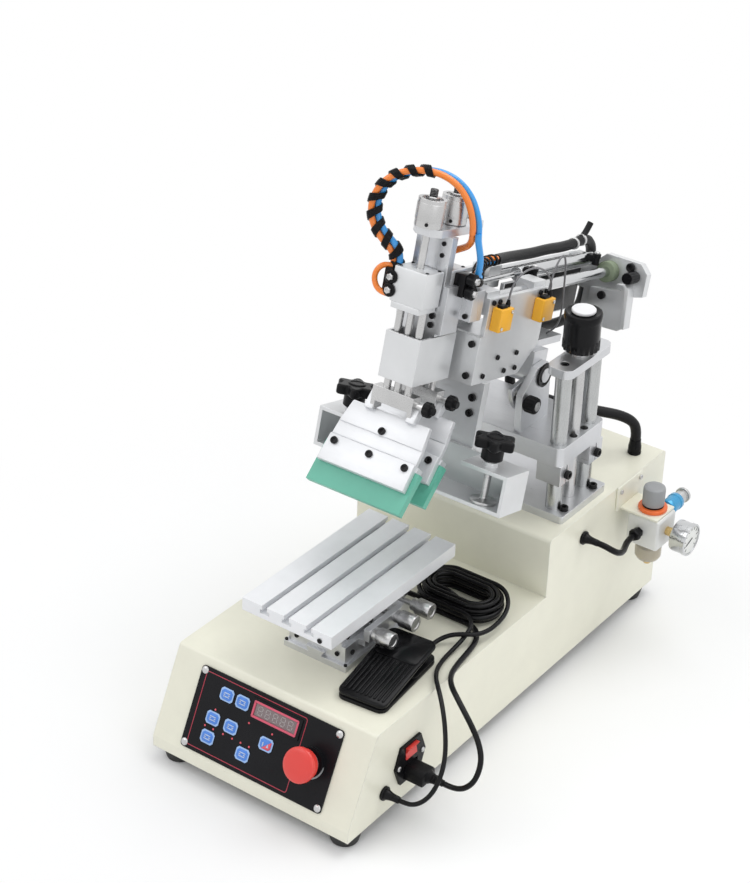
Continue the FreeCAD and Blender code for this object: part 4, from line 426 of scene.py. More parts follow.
def noise(tree, vector, scale, detail, rough=0.5):
    return add(tree, "TexNoise", {"Detail": detail, "Roughness": rough, "Vector": vector,
                                  "Scale": scale}).outputs["Fac"]


def make_soft_edge():
    """Rounds the shading of sharp edges and gives a mask of where they are."""
    tree, start, end = group("Soft edge", [("Radius", "Float", 0.0008)],
                             [("Normal", "Vector"), ("Edge", "Float")])
    normal = add(tree, "Bevel", {"Radius": start.outputs["Radius"]}, samples=6).outputs["Normal"]
    plain = add(tree, "NewGeometry").outputs["Normal"]
    dot = add(tree, "VectorMath", {0: normal, 1: plain}, operation="DOT_PRODUCT").outputs["Value"]
    edge = maths(tree, "MULTIPLY", maths(tree, "SUBTRACT", 1, dot), 6, clamp=True)
    feed(tree, end, {"Normal": normal, "Edge": edge})


def make_grain():
    """Fine grain stretched along one way, and slow cloudiness, as masks about a half."""
    tree, start, end = group("Grain", [("Stretch", "Vector", (1, 1, 1)), ("Scale", "Float", 400)],
                             [("Fine", "Float"), ("Cloud", "Float")])
    place = add(tree, "TexCoord").outputs["Object"]
    spread = add(tree, "VectorMath", {0: place, 1: start.outputs["Stretch"]}, operation="MULTIPLY")
    feed(tree, end, {"Fine": noise(tree, spread.outputs[0], start.outputs["Scale"], 4),
                     "Cloud": noise(tree, place, 26, 3, 0.6)})


def make_smudge():
    """Faint handling marks and settled dust on faces that look up."""
    tree, start, end = group("Smudge", [("Amount", "Float", 0.3)], [("Mask", "Float")])
    cloud = noise(tree, add(tree, "TexCoord").outputs["Object"], 60, 5, 0.65)
    rise = add(tree, "SeparateXYZ", {0: add(tree, "NewGeometry").outputs["Normal"]}).outputs["Z"]
    up = maths(tree, "MULTIPLY", maths(tree, "ADD", rise, 0.6, clamp=True), 0.6)
    mask = maths(tree, "MULTIPLY", maths(tree, "MULTIPLY", cloud, up), start.outputs["Amount"], clamp=True)
    feed(tree, end, {"Mask": mask})


def place_group(tree, name, **inputs):
    return add(tree, "Group", inputs, node_tree=bpy.data.node_groups[name])


def ranged(tree, value, low, high):
    """A mask from nought to one spread over a range."""
    return add(tree, "MapRange", {"Value": value, "From Min": 0.25, "From Max": 0.75, "To Min": low,
                                  "To Max": high}).outputs["Result"]


def blended(tree, mask, first, second):
    """Two colours mixed by a mask."""
    first, second = (colour if isinstance(colour, bpy.types.NodeSocket) else (*colour, 1)
                     for colour in (first, second))
    return add(tree, "Mix", {"Factor": mask, 6: first, 7: second}, data_type="RGBA").outputs[2]


DUST = (0.42, 0.40, 0.36)


def finish(name, colour, metal, rough, grain, bump, edge, cloud, dust, stretch=(1, 1, 1), wear=None, coat=0.0,
           glassy=0.0, gleam=0.5):
    """A finish: its colour clouded slightly, its sheen varied by its grain, its edges softened."""
    material = bpy.data.materials.new(name)
    material.use_nodes = True
    tree = material.node_tree
    soft = place_group(tree, "Soft edge", Radius=edge * MM)
    fine = place_group(tree, "Grain", Stretch=stretch, Scale=grain)
    smudge = place_group(tree, "Smudge", Amount=dust)
    darker = [channel * (1 - cloud * 1.6) for channel in colour]
    lighter = [min(1.0, channel * (1 + cloud) + cloud * 0.03) for channel in colour]
    base = blended(tree, ranged(tree, fine.outputs["Cloud"], 0, 1), darker, lighter)
    base = blended(tree, smudge.outputs["Mask"], base, DUST)
    if wear:
        worn = maths(tree, "MULTIPLY", soft.outputs["Edge"], fine.outputs["Cloud"])
        base = blended(tree, worn, base, wear)
    sheen = ranged(tree, fine.outputs["Fine"], *rough)
    relief = add(tree, "Bump", {"Strength": bump, "Distance": 0.0002, "Height": fine.outputs["Fine"],
                                "Normal": soft.outputs["Normal"]})
    feed(tree, tree.nodes["Principled BSDF"], {
        "Base Color": base, "Roughness": sheen, "Metallic": metal, "Coat Weight": coat, "Coat Roughness": 0.12,
        "Specular IOR Level": gleam, "Transmission Weight": glassy, "Normal": relief.outputs["Normal"]})


BRIGHT = (0.90, 0.90, 0.91)
MILLED = (0.66, 0.67, 0.69), 0.85, (0.26, 0.44), 900, 0.22, 0.7, 0.05, 0.10

# Name, colour or the setting that holds it, metal, range of roughness, grain, bump, edge radius in
# millimetres, clouding, dust, and what only some finishes have.
FINISHES = [
    ("cream paint", "casing_colour", 0, (0.30, 0.42), 700, 0.10, 1.2, 0.02, 0.10,
     {"coat": 0.15, "wear": (0.93, 0.93, 0.88)}),
    ("pan steel", (0.50, 0.50, 0.47), 0.8, (0.4, 0.55), 400, 0.15, 0.8, 0.08, 0.12),
    ("milled along x", *MILLED, {"stretch": (0.04, 1, 1), "wear": BRIGHT}),
    ("milled along y", *MILLED, {"stretch": (1, 0.04, 1), "wear": BRIGHT}),
    ("milled along z", *MILLED, {"stretch": (1, 1, 0.04), "wear": BRIGHT}),
    # The table plate is lighter than the other milled aluminium to offset the head's shadow on it: painted light.
    ("table plate", (0.85, 0.86, 0.88), 0.4, (0.32, 0.46), 900, 0.18, 0.6, 0.03, 0.06,
     {"stretch": (1, 0.04, 1), "wear": BRIGHT}),
    ("anodised plate", (0.73, 0.74, 0.75), 0.6, (0.30, 0.44), 1500, 0.12, 0.7, 0.03, 0.08, {"wear": BRIGHT}),
    ("holder plate", (0.74, 0.75, 0.77), 0.6, (0.42, 0.56), 1200, 0.12, 0.6, 0.03, 0.06,
     {"stretch": (0.05, 1, 1), "wear": BRIGHT}),
    ("post steel", (0.50, 0.51, 0.51), 1, (0.20, 0.34), 1200, 0.10, 0.4, 0.06, 0.06, {"stretch": (1, 1, 0.05)}),
    ("ground steel", (0.62, 0.63, 0.64), 1, (0.12, 0.24), 1200, 0.08, 0.4, 0.03, 0.04,
     {"stretch": (1, 1, 0.05)}),
    ("turned steel", (0.58, 0.58, 0.58), 1, (0.22, 0.38), 1400, 0.14, 0.5, 0.06, 0.06, {"wear": BRIGHT}),
    ("black oxide", (0.010, 0.010, 0.011), 0.3, (0.26, 0.40), 1600, 0.15, 0.3, 0.1, 0.02,
     {"wear": (0.05, 0.05, 0.055), "gleam": 0.2}),
    ("moulded black", (0.007, 0.007, 0.008), 0, (0.24, 0.36), 1800, 0.12, 0.6, 0.1, 0.008,
     {"wear": (0.02, 0.02, 0.024), "gleam": 0.12}),
    ("gloss black", (0.006, 0.006, 0.007), 0, (0.12, 0.22), 900, 0.04, 0.5, 0.1, 0.005,
     {"wear": (0.02, 0.02, 0.024), "gleam": 0.14}),
    ("cord jacket", (0.005, 0.005, 0.006), 0, (0.16, 0.28), 1500, 0.08, 0.2, 0.1, 0.005, {"gleam": 0.18}),
    ("woven sleeve", (0.008, 0.008, 0.009), 0, (0.34, 0.5), 2400, 0.6, 0.2, 0.1, 0.01, {"gleam": 0.18}),
    ("foot rubber", (0.020, 0.020, 0.020), 0, (0.6, 0.8), 1500, 0.35, 0.8, 0.12, 0.12),
    ("panel film", (0.007, 0.007, 0.009), 0, (0.24, 0.34), 2600, 0.05, 0.3, 0.08, 0.01, {"gleam": 0.15}),
    ("stop red", "stop_colour", 0, (0.30, 0.42), 1200, 0.06, 0.8, 0.04, 0.08, {"coat": 0.25}),
    ("key blue", (0.075, 0.25, 0.78), 0, (0.3, 0.42), 1800, 0.05, 0.8, 0.04, 0.05),
    ("key red", (0.85, 0.10, 0.14), 0, (0.3, 0.42), 1800, 0.05, 0.8, 0.04, 0.05),
    ("key white", (0.55, 0.68, 0.92), 0, (0.35, 0.45), 1800, 0.05, 0.8, 0.04, 0.03),
    ("key pale", (0.36, 0.55, 0.90), 0, (0.35, 0.45), 1800, 0.05, 0.8, 0.04, 0.03),
    ("line red", (0.50, 0.035, 0.07), 0, (0.3, 0.4), 1800, 0.03, 0.8, 0.05, 0.04),
    ("display glass", (0.20, 0.15, 0.155), 0, (0.16, 0.24), 1500, 0.02, 0.8, 0.06, 0.05, {"coat": 0.6}),
    ("display digit", (0.48, 0.44, 0.44), 0, (0.3, 0.4), 1500, 0.02, 0.8, 0.05, 0.03),
    ("frame pink", (0.72, 0.10, 0.17), 0, (0.3, 0.4), 1500, 0.04, 0.8, 0.04, 0.04),
    ("sensor amber", (0.93, 0.46, 0.02), 0, (0.34, 0.46), 1500, 0.08, 0.8, 0.04, 0.06),
    ("blade green", "blade_colour", 0, (0.34, 0.48), 900, 0.08, 0.6, 0.05, 0.04, {"coat": 0.1}),
    ("tube blue", (0.03, 0.33, 0.80), 0, (0.18, 0.28), 1500, 0.03, 0.8, 0.05, 0.02, {"coat": 0.4}),
    ("tube orange", (0.95, 0.24, 0.02), 0, (0.18, 0.28), 1500, 0.03, 0.8, 0.05, 0.02, {"coat": 0.4}),
    ("sleeve blue", (0.03, 0.33, 0.62), 0.35, (0.2, 0.3), 1500, 0.05, 0.8, 0.05, 0.04, {"coat": 0.4}),
    ("knob grey", (0.33, 0.34, 0.35), 0, (0.34, 0.46), 1500, 0.08, 0.8, 0.05, 0.12),
    ("ring orange", (0.93, 0.17, 0.03), 0, (0.28, 0.4), 1500, 0.05, 0.8, 0.04, 0.12),
    ("cast body", (0.74, 0.745, 0.73), 0.15, (0.32, 0.46), 900, 0.2, 1.5, 0.05, 0.12,
     {"wear": (0.88, 0.88, 0.86)}),
    ("clear bowl", (0.93, 0.94, 0.93), 0, (0.05, 0.12), 1500, 0.03, 0.8, 0.01, 0.04, {"glassy": 0.85}),
    ("cap white", (0.86, 0.86, 0.87), 0, (0.35, 0.45), 1500, 0.05, 0.8, 0.03, 0.12),
    ("brass", (0.72, 0.52, 0.22), 1, (0.2, 0.35), 1500, 0.1, 0.8, 0.06, 0.12),
    ("lead grey", (0.16, 0.16, 0.17), 0, (0.34, 0.46), 1500, 0.05, 0.8, 0.06, 0.12),
    ("felt green", (0.22, 0.27, 0.18), 0, (0.7, 0.9), 1500, 0.5, 0.8, 0.1, 0.12),
    ("element beige", (0.62, 0.52, 0.34), 0, (0.5, 0.7), 1500, 0.2, 0.8, 0.08, 0.12),
    ("dial pale", (0.82, 0.83, 0.80), 0, (0.3, 0.4), 1500, 0.02, 0.8, 0.02, 0.03),
]

NODE_FINISHES = {
    "cream paint": "casing",
    "pan steel": "base_pan control_gear",
    "foot rubber": "rubber_feet",
    "panel film": "control_panel",
    "stop red": "estop_button rocker_switch",
    "moulded black": "power_inlet cord_glands mains_plug wall_plug pedal_base pedal_treadle height_knob"
                     " tilt_lock_knob frame_clamp_left frame_clamp_right",
    "cord jacket": "mains_cord mains_hank pedal_cord pedal_hank",
    "gloss black": "air_hose slab_hose arm_hose air_tubes",
    "milled along x": "stage_x_slide column_base_plate lift_slab",
    "milled along y": "stage_base stage_y_slide column_top_plates arm_base_plate head_top_plate",
    "milled along z": "pivot_lugs carriage_block",
    "table plate": "work_table",
    "anodised plate": "arm_side_plates frame_carrier stroke_cylinder end_plate head_box head_cylinders",
    "post steel": "guide_posts",
    "ground steel": "piston_rod guide_rods",
    "turned steel": "y_knob x_knob theta_knob height_screw squeegee_rods flood_rods pressure_gauge",
    "sensor amber": "stroke_sensors",
    "holder plate": "squeegee_holder flood_holder",
    "blade green": "squeegee_blade flood_blade",
    "cast body": "air_regulator",
    "knob grey": "regulator_knob",
    "sleeve blue": "slide_valve",
}


# The routes of the cords in the casing's frame, and of the hoses in the casing's and the arm's.

MAINS_ROUTE = [
    (173, 101, 50), (183, 101, 50), (194.5, 102.2, 54.5), (202.8, 105.5, 64.3), (205.8, 110, 77),
    (204.5, 115, 90), (197.5, 120, 101.5), (187, 125, 111), (173, 131, 120), (157, 139, 127.5),
    (141, 150.5, 130), (129.5, 167, 127.5), (123.5, 186, 126), (120.5, 207.5, 125.8), (117, 229, 125.8),
    (111, 243.5, 125.8), (102.5, 252.5, 125.8), (92, 255.8, 125.8),
]
WALL_ROUTE = [
    (43, 255.8, 132.6), (29, 255.8, 132.6), (14, 256.2, 132.4), (0, 257.5, 130.5), (-12, 260.5, 130.5),
    (-22, 263.8, 132.8), (-32, 266.5, 134.5), (-42, 268.5, 134.8),
]
LEAD_ROUTE = [
    (145, 59.5, 42.7), (156, 59.5, 42.7), (166.5, 61, 47), (175, 65.5, 55.5), (180, 72, 67),
    (180.5, 81, 79.5), (176.5, 92, 92), (168.5, 103.5, 104), (158, 115.5, 115.5), (146, 127, 126),
    (133, 139, 131), (121, 152.5, 129.5), (111.5, 169, 126.5), (106.5, 187, 125.5), (105.5, 206, 126.5),
    (105.5, 223, 129.5), (105.5, 236.65, 134.8), (102.05, 245, 136.8), (95.7, 251.3, 138.1),
    (87.4, 254.75, 138.4),
]
PEDAL_ROUTE = [
    (81, 313.25, 144.1), (92, 313.25, 144.1), (103, 309.5, 142), (112.5, 300, 138.5), (118.5, 286, 135),
    (121, 268, 133.5), (121, 250, 133.5), (116.5, 233.5, 135), (104.1, 223.7, 136), (93.5, 218.1, 133.2),
    (87.05, 210.46, 130), (84.13, 200.9, 127.7), (85.25, 188.9, 127.7),
]
SIDE_HOSE = [
    (145, 424, 164), (154, 424, 164), (162, 427, 160), (165.5, 435.5, 153.5), (164.5, 447.5, 148),
    (160, 460, 146.5), (156, 472.5, 147), (156, 485, 147),
]
RISING_HOSE = [
    (102, 571, 213), (102, 571, 225), (98.5, 566.5, 237), (88, 554, 246.5), (72, 539, 252),
    (52, 524, 256.5), (30, 511, 261), (11, 502.5, 265.5), (-4, 496.5, 265.5),
]
SLAB_HOSE = [
    (-4.42, 496.33, 265.5), (-10.64, 493.84, 265.5), (-17.85, 492.2, 269.65), (-22, 492.2, 276.85),
    (-22, 493.4, 290), (-22, 496.9, 303.8),
]
ARM_HOSE = [
    (-22, 70, -17), (-22, 70, -4), (-22, 75, 8), (-22, 87, 15), (-21.8, 102, 16.5), (-21, 122, 15.5),
    (-19.5, 143, 15), (-17.5, 162, 17.5), (-15.5, 178, 24), (-14.2, 187, 35.5), (-14, 189, 48),
    (-14, 189, 60),
]
BARREL_HOSE = [
    (-14, 189, 60.4), (-14, 189, 74), (-14, 188.5, 90), (-14, 184.5, 104), (-14, 174, 113), (-14, 160, 115),
    (-14, 141, 112), (-14, 114, 110.5), (-14, 82, 111.5), (-13.8, 50, 110.5), (-13, 16, 111.5),
    (-10, -16, 113.5), (-4, -45, 116),
]
LOOP = [
    (-28, -199, 119.3), (-28, -199, 129), (-33.5, -202, 138.5), (-45, -206, 147), (-55, -209.5, 159),
    (-59.5, -211, 176), (-56.5, -209, 194), (-46, -203, 209), (-28, -192.5, 218), (-8, -183.5, 220.5),
    (10, -174.5, 214), (23, -167.5, 200), (30, -163, 183), (31.5, -159, 170), (31.5, -158, 162),
]
FEED = [
    (36, -145, 114), (31, -136, 117), (24, -126, 119), (14, -108, 118.5), (4, -86, 117.5),
    (-2.6, -65, 117.4), (-4, -46, 116.1),
]


def turns(folds, low, rise, climb, reach=19.0, middle=(62.0, 284.0)):
    """A hank's turns: half loops at either end of a straight run, in two levels."""
    points = []
    across = middle[1] - folds[0]
    level = low
    for index, fold in enumerate(folds):
        side = -1 if index % 2 == 0 else 1
        begin, end = middle[0] - side * reach, middle[0] + side * reach
        points.append((begin, across, level))
        if index == climb:
            points.append((begin + side * reach * 0.65, across, level))
            level += rise
            points.append((end - side * reach * 0.65, across, level))
        points.append((end, across, level))
        out = fold / math.cos(math.radians(15))
        for step in range(6):
            angle = math.radians(15 + 30 * step)
            points.append((end + side * out * math.sin(angle), across - side * (fold - out * math.cos(angle)),
                           level))
        across -= side * 2 * fold
    points.append((end, across, level))
    return points


# One operator for each piece or group of like pieces.

class PressSettings(bpy.types.PropertyGroup):
    """Colours and sizes that a user may want to change."""

    casing_colour: FloatVectorProperty(
        name="Casing colour", description="Powder coat of the casing", subtype="COLOR",
        default=(0.865, 0.850, 0.715), min=0, max=1)
    stop_colour: FloatVectorProperty(
        name="Stop button colour", description="Moulded cap of the stop button", subtype="COLOR",
        default=(0.80, 0.045, 0.035), min=0, max=1)
    blade_colour: FloatVectorProperty(
        name="Blade colour", description="Blades of the squeegee and the flood bar", subtype="COLOR",
        default=(0.12, 0.46, 0.34), min=0, max=1)
    mains_radius: FloatProperty(
        name="Mains cord radius", description="Half the thickness of the mains cord, in millimetres",
        default=3.0, min=2.0, max=5.0)
    lead_radius: FloatProperty(
        name="Pedal lead radius", description="Half the thickness of the pedal's lead, in millimetres",
        default=2.5, min=1.5, max=4.0)


class PRESS_OT_finishes(bpy.types.Operator):
    """Make every finish and lay it on the solids."""

    bl_idname = "press.finishes"
    bl_label = "Finishes"

    def execute(self, context):
        make_soft_edge()
        make_grain()
        make_smudge()
        for name, colour, *values in FINISHES:
            few = values.pop() if isinstance(values[-1], dict) else {}
            if isinstance(colour, str):
                colour = getattr(context.scene.press, colour)
            finish(name, colour, *values, **few)
        for name, nodes in NODE_FINISHES.items():
            for node in nodes.split():
                painted(NODES[node], name)
        return {"FINISHED"}


class PRESS_OT_plugs(bpy.types.Operator):
    """The inlet's screws, the plug in it and the wall plug."""

    bl_idname = "press.plugs"
    bl_label = "Inlet and plugs"

    def execute(self, context):
        bench = Bench("base", BLACK, "mains_plug")
        bench.turned("inlet_screw", [(2.9, 130), (2.9, 130.6), (2.3, 131.3), (1.2, 131.7)],
                     (0, (80.5, 121.5), 61), "x", 24, look=ZINC, nodes="")
        bench.outlined("plug_body", [(-42, 89.5), (-42, 112.5), (-54, 112.5), (-58, 108.5), (-58, 93.5),
                                     (-54, 89.5)], 113, 153, 1.6, "x")
        ribs = rings(5, 3.1, [(5.6, 156.4), (5.6, 158.1), (4.6, 158.5), (4.6, 159.2)], -0.5)
        bench.turned("plug_relief", [(7.8, 151), (7.4, 154), (5.9, 156), *ribs, (3.2, 173)], (0, 101, 50),
                     "x", 32)
        before, end = (Vector(point) for point in WALL_ROUTE[-2:])
        turn = Vector((0, 0, 1)).rotation_difference(end - before).to_matrix().to_4x4()
        bench = Bench("base", BLACK, "wall_plug", CASING @ Matrix.Translation(end) @ turn)
        ribs = rings(4, 4.2, [(4.2, 0.6), (4.2, 2.8), (3.3, 3.2), (3.3, 4.4)], 0.45)
        bench.turned("wall_plug_housing", [(3.2, 0), *ribs, (6.4, 17), (9.6, 19.5), (11.2, 22.5), (11.5, 26),
                                           (11.5, 41.6), (10.6, 43)], sides=40)
        bench.turned("wall_plug_pin", [(2, 42.9), (2, 55.6), (1.5, 56.6), (0.8, 57)], ((-5.75, 5.75), 0, 0),
                     sides=20, look=STEEL)
        return {"FINISHED"}


class PRESS_OT_cords(bpy.types.Operator):
    """Lay the mains cord and the pedal's lead, each on one smooth line."""

    bl_idname = "press.cords"
    bl_label = "Cords"

    def execute(self, context):
        sizes = context.scene.press
        bench = Bench("base", JACKET)
        hank = turns([28.2, 24.8, 21.4, 18, 18, 21.4, 24.8, 28.2], 125.8, 6.8, 4)
        mains = bench.tube("mains_line", MAINS_ROUTE + hank + WALL_ROUTE, sizes.mains_radius,
                           nodes="mains_cord mains_hank")
        folds = [29.25 - 2.85 * step for step in range(6)] + [15 + 2.85 * step for step in range(5)]
        lead = bench.tube("pedal_line", LEAD_ROUTE + turns(folds, 138.4, 5.7, 6) + PEDAL_ROUTE,
                          sizes.lead_radius, nodes="pedal_cord pedal_hank")
        return {"FINISHED"}


class PRESS_OT_hoses(bpy.types.Operator):
    """The black hoses, each riding on the body that carries it."""

    bl_idname = "press.hoses"
    bl_label = "Hoses"

    def execute(self, context):
        Bench("base", WRAP, "air_hose").tube("side_hose", SIDE_HOSE, 3.6)
        Bench("base", SLEEVE, "air_hose").tube("rising_hose", RISING_HOSE, 6)
        Bench("lift", SLEEVE, "slab_hose").tube("slab_hose_line", SLAB_HOSE, 6)
        Bench("arm", SLEEVE, "arm_hose", ARM).tube("arm_hose_line", ARM_HOSE, 6)
        bench = Bench("carriage", SLEEVE, "", ARM)
        bench.tube("barrel_hose", BARREL_HOSE, 6, nodes="air_tubes")
        bench.tube("sleeve_tail", [(-14, 146, 113), (-14, 156, 117), (-13.5, 164, 124), (-13, 169, 134)], 3.6)
        for name, spot in (("front", (-14, 139, 112)), ("back", (-14, 155, 114.6))):
            bench.turned("hose_tie_" + name, [(6.3, 0), (7, 0.3), (7, 3.2), (6.3, 3.5)], spot, "y", 32,
                         look=STEEL)
        return {"FINISHED"}


class PRESS_OT_loop(bpy.types.Operator):
    """The orange and the blue tube over the head, held together by a black spiral wrap."""

    bl_idname = "press.loop"
    bl_label = "Tube loop"

    def execute(self, context):
        bench = Bench("carriage", WRAP, "air_tubes", ARM)
        wound = Bench("carriage", WRAP, "air_tubes", Matrix.Identity(4))
        over = guide_points(LOOP)
        twist = 2 * MM * len(over)
        quarter = math.pi / 2
        for name, phase, look in (("orange_tube", -quarter, ORANGE), ("blue_tube", quarter, BLUE)):
            wound.tube(name, helix(over[::3], 0.0034, twist, phase), 3.5, 2, look=look)
        wrapped = over[:int(len(over) * 0.64)]
        for number in range(5):
            line = helix(wrapped, 0.0045, 0.0158, 0.6 * number, 0.0032, (-quarter, twist))
            wound.tube("loop_wrap_%d" % (number + 1), line, 1, 2)
        for name, look, radius, points in (
                ("orange_tail", ORANGE, 3.5, [
                    (28.2, -158.2, 166), (28, -157.6, 161), (26.5, -155, 155), (20, -150, 148), (9, -148, 142),
                    (-1, -151, 136), (-4, -155, 129), (-4, -155, 124)]),
                ("blue_tail", BLUE, 3.5, [
                    (34.8, -158.2, 166), (35.2, -157.6, 160), (36.5, -155, 152), (37.5, -150, 141),
                    (37, -147, 131), (36.5, -147, 121)]),
                ("orange_curl", ORANGE, 3, [
                    (-29, -202, 119), (-35, -208, 121), (-41, -212, 115), (-43, -213, 105), (-38, -213, 96),
                    (-30, -212, 92.5), (-24, -211, 93)])):
            bench.tube(name, points, radius, look=look)
        along = guide_points(FEED)
        for name, phase, look in (("blue_feed", 0.6, BLUE), ("orange_feed", 0.6 + math.pi, ORANGE)):
            wound.tube(name, helix(along[::3], 0.0027, 0.2, phase), 2.8, 2, look=look)
        for number in range(3):
            wound.tube("feed_wrap_%d" % (number + 1), helix(along, 0.0058, 0.0125, 0.66 * number), 0.95, 2)
        return {"FINISHED"}


class PRESS_OT_glands(bpy.types.Operator):
    """The three cord glands and the rubber feet."""

    bl_idname = "press.glands"
    bl_label = "Glands and feet"

    def execute(self, context):
        bench = Bench("base", GLOSS, "cord_glands")
        dome = [(5.8, 2.6), (5.8, 4.6), (5.2, 6), (4.4, 9), (3.9, 13), (3.8, 18.6), (3.2, 19.4)]
        wide = [(7.6, 3.6), (7.6, 9), (7.2, 11), (6.6, 15), (6.4, 18)]
        for name, centre, axis, outline in (("front", (127, 59.5, 42.7), "x", dome),
                                            ("side", (127, 424, 164), "x", dome),
                                            ("top", (102, 571, 195), "z", wide)):
            bench.turned("gland_nut_" + name, [(7.4, 0), (7.8, 0.4), (7.8, 2.4), (7.2, 3)], centre, axis, 32)
            bench.turned("gland_cap_" + name, outline, centre, axis)
        bench.turned("foot", [(13.4, 0), (14.4, 0.7), (16.8, 10), (17.5, 12), (17.5, 15.9)],
                     ((-108, 108), (21, 578), 0), look=("foot rubber", "rubber"), nodes="rubber_feet")
        return {"FINISHED"}


class PRESS_OT_pedal(bpy.types.Operator):
    """The foot pedal: a low base and a ribbed treadle that leans back over it."""

    bl_idname = "press.pedal"
    bl_label = "Foot pedal"

    def execute(self, context):
        bench = Bench("base", GLOSS, "pedal_base", PEDAL)
        bench.outlined("pedal_foot", corner_points((-28, -55), (28, 55), 9), 0, 4.3, 1)
        bench.outlined("pedal_rest", corner_points((-27.4, 6), (27.4, 55), 8), 4, 6.8, 0.8)
        bench.turned("pedal_relief", [(2.6, 54), (2.6, 56.2), (4, 56.6), (4, 60), (3.2, 61)], (12, 0, 5.2),
                     "y", 28)
        lean = Matrix.Translation((0, -55, 9.5)) @ Matrix.Rotation(math.atan2(14.5, 110), 4, "X")
        bench = Bench("treadle", GLOSS, "pedal_treadle", PEDAL @ lean)
        bench.outlined("treadle_plate", corner_points((-28, 0.4), (28, 110.6), 8), -5, 0, 1.5)
        bench.outlined("treadle_heel", corner_points((-25.4, 68), (25.4, 107.5), 6), -0.4, 0.9, 0.8)
        bench.block("treadle_rib", (-23.9, 7, -0.5), (-21.1, 66, 1.6), 0.9, 3,
                    [(5 * step, 0, 0) for step in range(10)])
        return {"FINISHED"}


class PRESS_OT_panel(bpy.types.Operator):
    """The panel's line, corner screws, keys, lamps and display."""

    bl_idname = "press.panel"
    bl_label = "Control panel"

    def execute(self, context):
        bench = Bench("base", ("key white", "panel_film"), "", SLOPE)
        bench.fit(line_frame("panel_line", corner_points((-84, 9), (47, 90), 3), 0.9, 1.55, 1.75, SLOPE),
                  look="line red")
        bench.turned("panel_screw", [(4.1, 1.5), (4.1, 2.1), (3.3, 3.1), (1.8, 3.6)],
                     ((-86.3, 86.3), (10, 89.3), 0), sides=28, look=ZINC)
        keys = [(-52.5, 75, 0), (-32, 75, 0), (-61, 46, 0), (-37.5, 46, 0), (-61, 25.3, 0), (-15, 25.3, 0),
                (8.5, 46, 0)]
        for name, wide, high, low, top, look in (("key_rim", 8.5, 7, 1.5, 2.2, "key pale"),
                                                 ("key_cap", 6.9, 5.4, 2.1, 2.45, "key blue")):
            corners = [(-52.5 + wide * a + 2.4 * c, 75 + high * b + 2.4 * d) for a, b, c, d in (
                (-1, -1, 1, 0), (1, -1, -1, 0), (1, -1, 0, 1), (1, 1, 0, -1), (1, 1, -1, 0), (-1, 1, 1, 0),
                (-1, 1, 0, -1), (-1, -1, 0, 1))]
            bench.outlined(name, corners, low, top, 0.25, at=keys, look=look)
        bench.outlined("key_red_half", [(4, 40.8), (13, 40.8), (15.2, 43), (15.2, 49.2), (14.4, 50.2)], 2.4,
                       2.6, 0.1, look="key red")
        bench.fit(bars("key_sign", [(-52.5, 76.8, 8, 1.2), (-52.5, 73, 8, 1.2), (-55.35, 74.9, 2.3, 1.2),
                                    (-49.65, 74.9, 2.3, 1.2)], 2.5, 2.68), keys[:6])
        bench.fit(joined([block("arrow_bar", (4.5, 42.6, 2.6), (6, 47.6, 2.78), SLOPE, 0.1),
                          outlined("arrow_head", [(9.5, 43.4), (12.8, 43.4), (11.2, 47.4)], 2.6, 2.78, SLOPE,
                                   0.05)], "key_arrow"))
        row = [(x, 35.6, 0) for x in (-68, -57, -44, -32, -21, -10)]
        bench.turned("panel_lamp", [(1.1, 1.5), (1.1, 1.8), (0.8, 2.05), (0.4, 2.2)],
                     [(-61, 55.5, 0), *row, (-18, 58.5, 0), (12, 58.5, 0)], sides=16, look="key red")
        bench.fit(line_frame("display_frame", corner_points((-18, 66.1), (39, 83.9), 1.4), 2.2, 1.6, 3.1,
                             SLOPE), look="frame pink")
        bench.block("display_glass", (-17, 67.1, 1.5), (38, 82.9, 2.2), 0.3, look="display glass")
        bench.fit(bars("digit", [(-8.8, y, 4.4, 0.9) for y in (79.4, 75, 70.6)]
                       + [(x, y, 0.9, 3.6) for y in (77.2, 72.8) for x in (-11.4, -6.2)], 2.15, 2.32, 0.2, 1),
                  [(9.6 * step, 0, 0) for step in range(5)], look="display digit")
        return {"FINISHED"}


class PRESS_OT_stop(bpy.types.Operator):
    """The stop button: a collar and a mushroom cap."""

    bl_idname = "press.stop"
    bl_label = "Stop button"

    def execute(self, context):
        centre = (64.4, 49.6, 0)
        Bench("base", GREY, "", SLOPE).turned("stop_collar", [
            (15.7, 1.6), (16.2, 2.2), (16.2, 4.2), (15.4, 5.2), (12.5, 5.6), (12.2, 7.2)], centre)
        Bench("estop", ("stop red", "red_plastic"), "estop_button", SLOPE).turned("stop_cap", [
            (8.4, -22), (8.4, 12.9), (15.6, 13.5), (16.4, 14.3), (16.4, 18.4), (17.4, 19.2), (18.2, 20.2),
            (18.4, 21.2), (18.4, 24.4), (17.6, 26), (15.8, 27), (12.6, 27.6), (8, 28), (3, 28.1)], centre,
            sides=64)
        return {"FINISHED"}


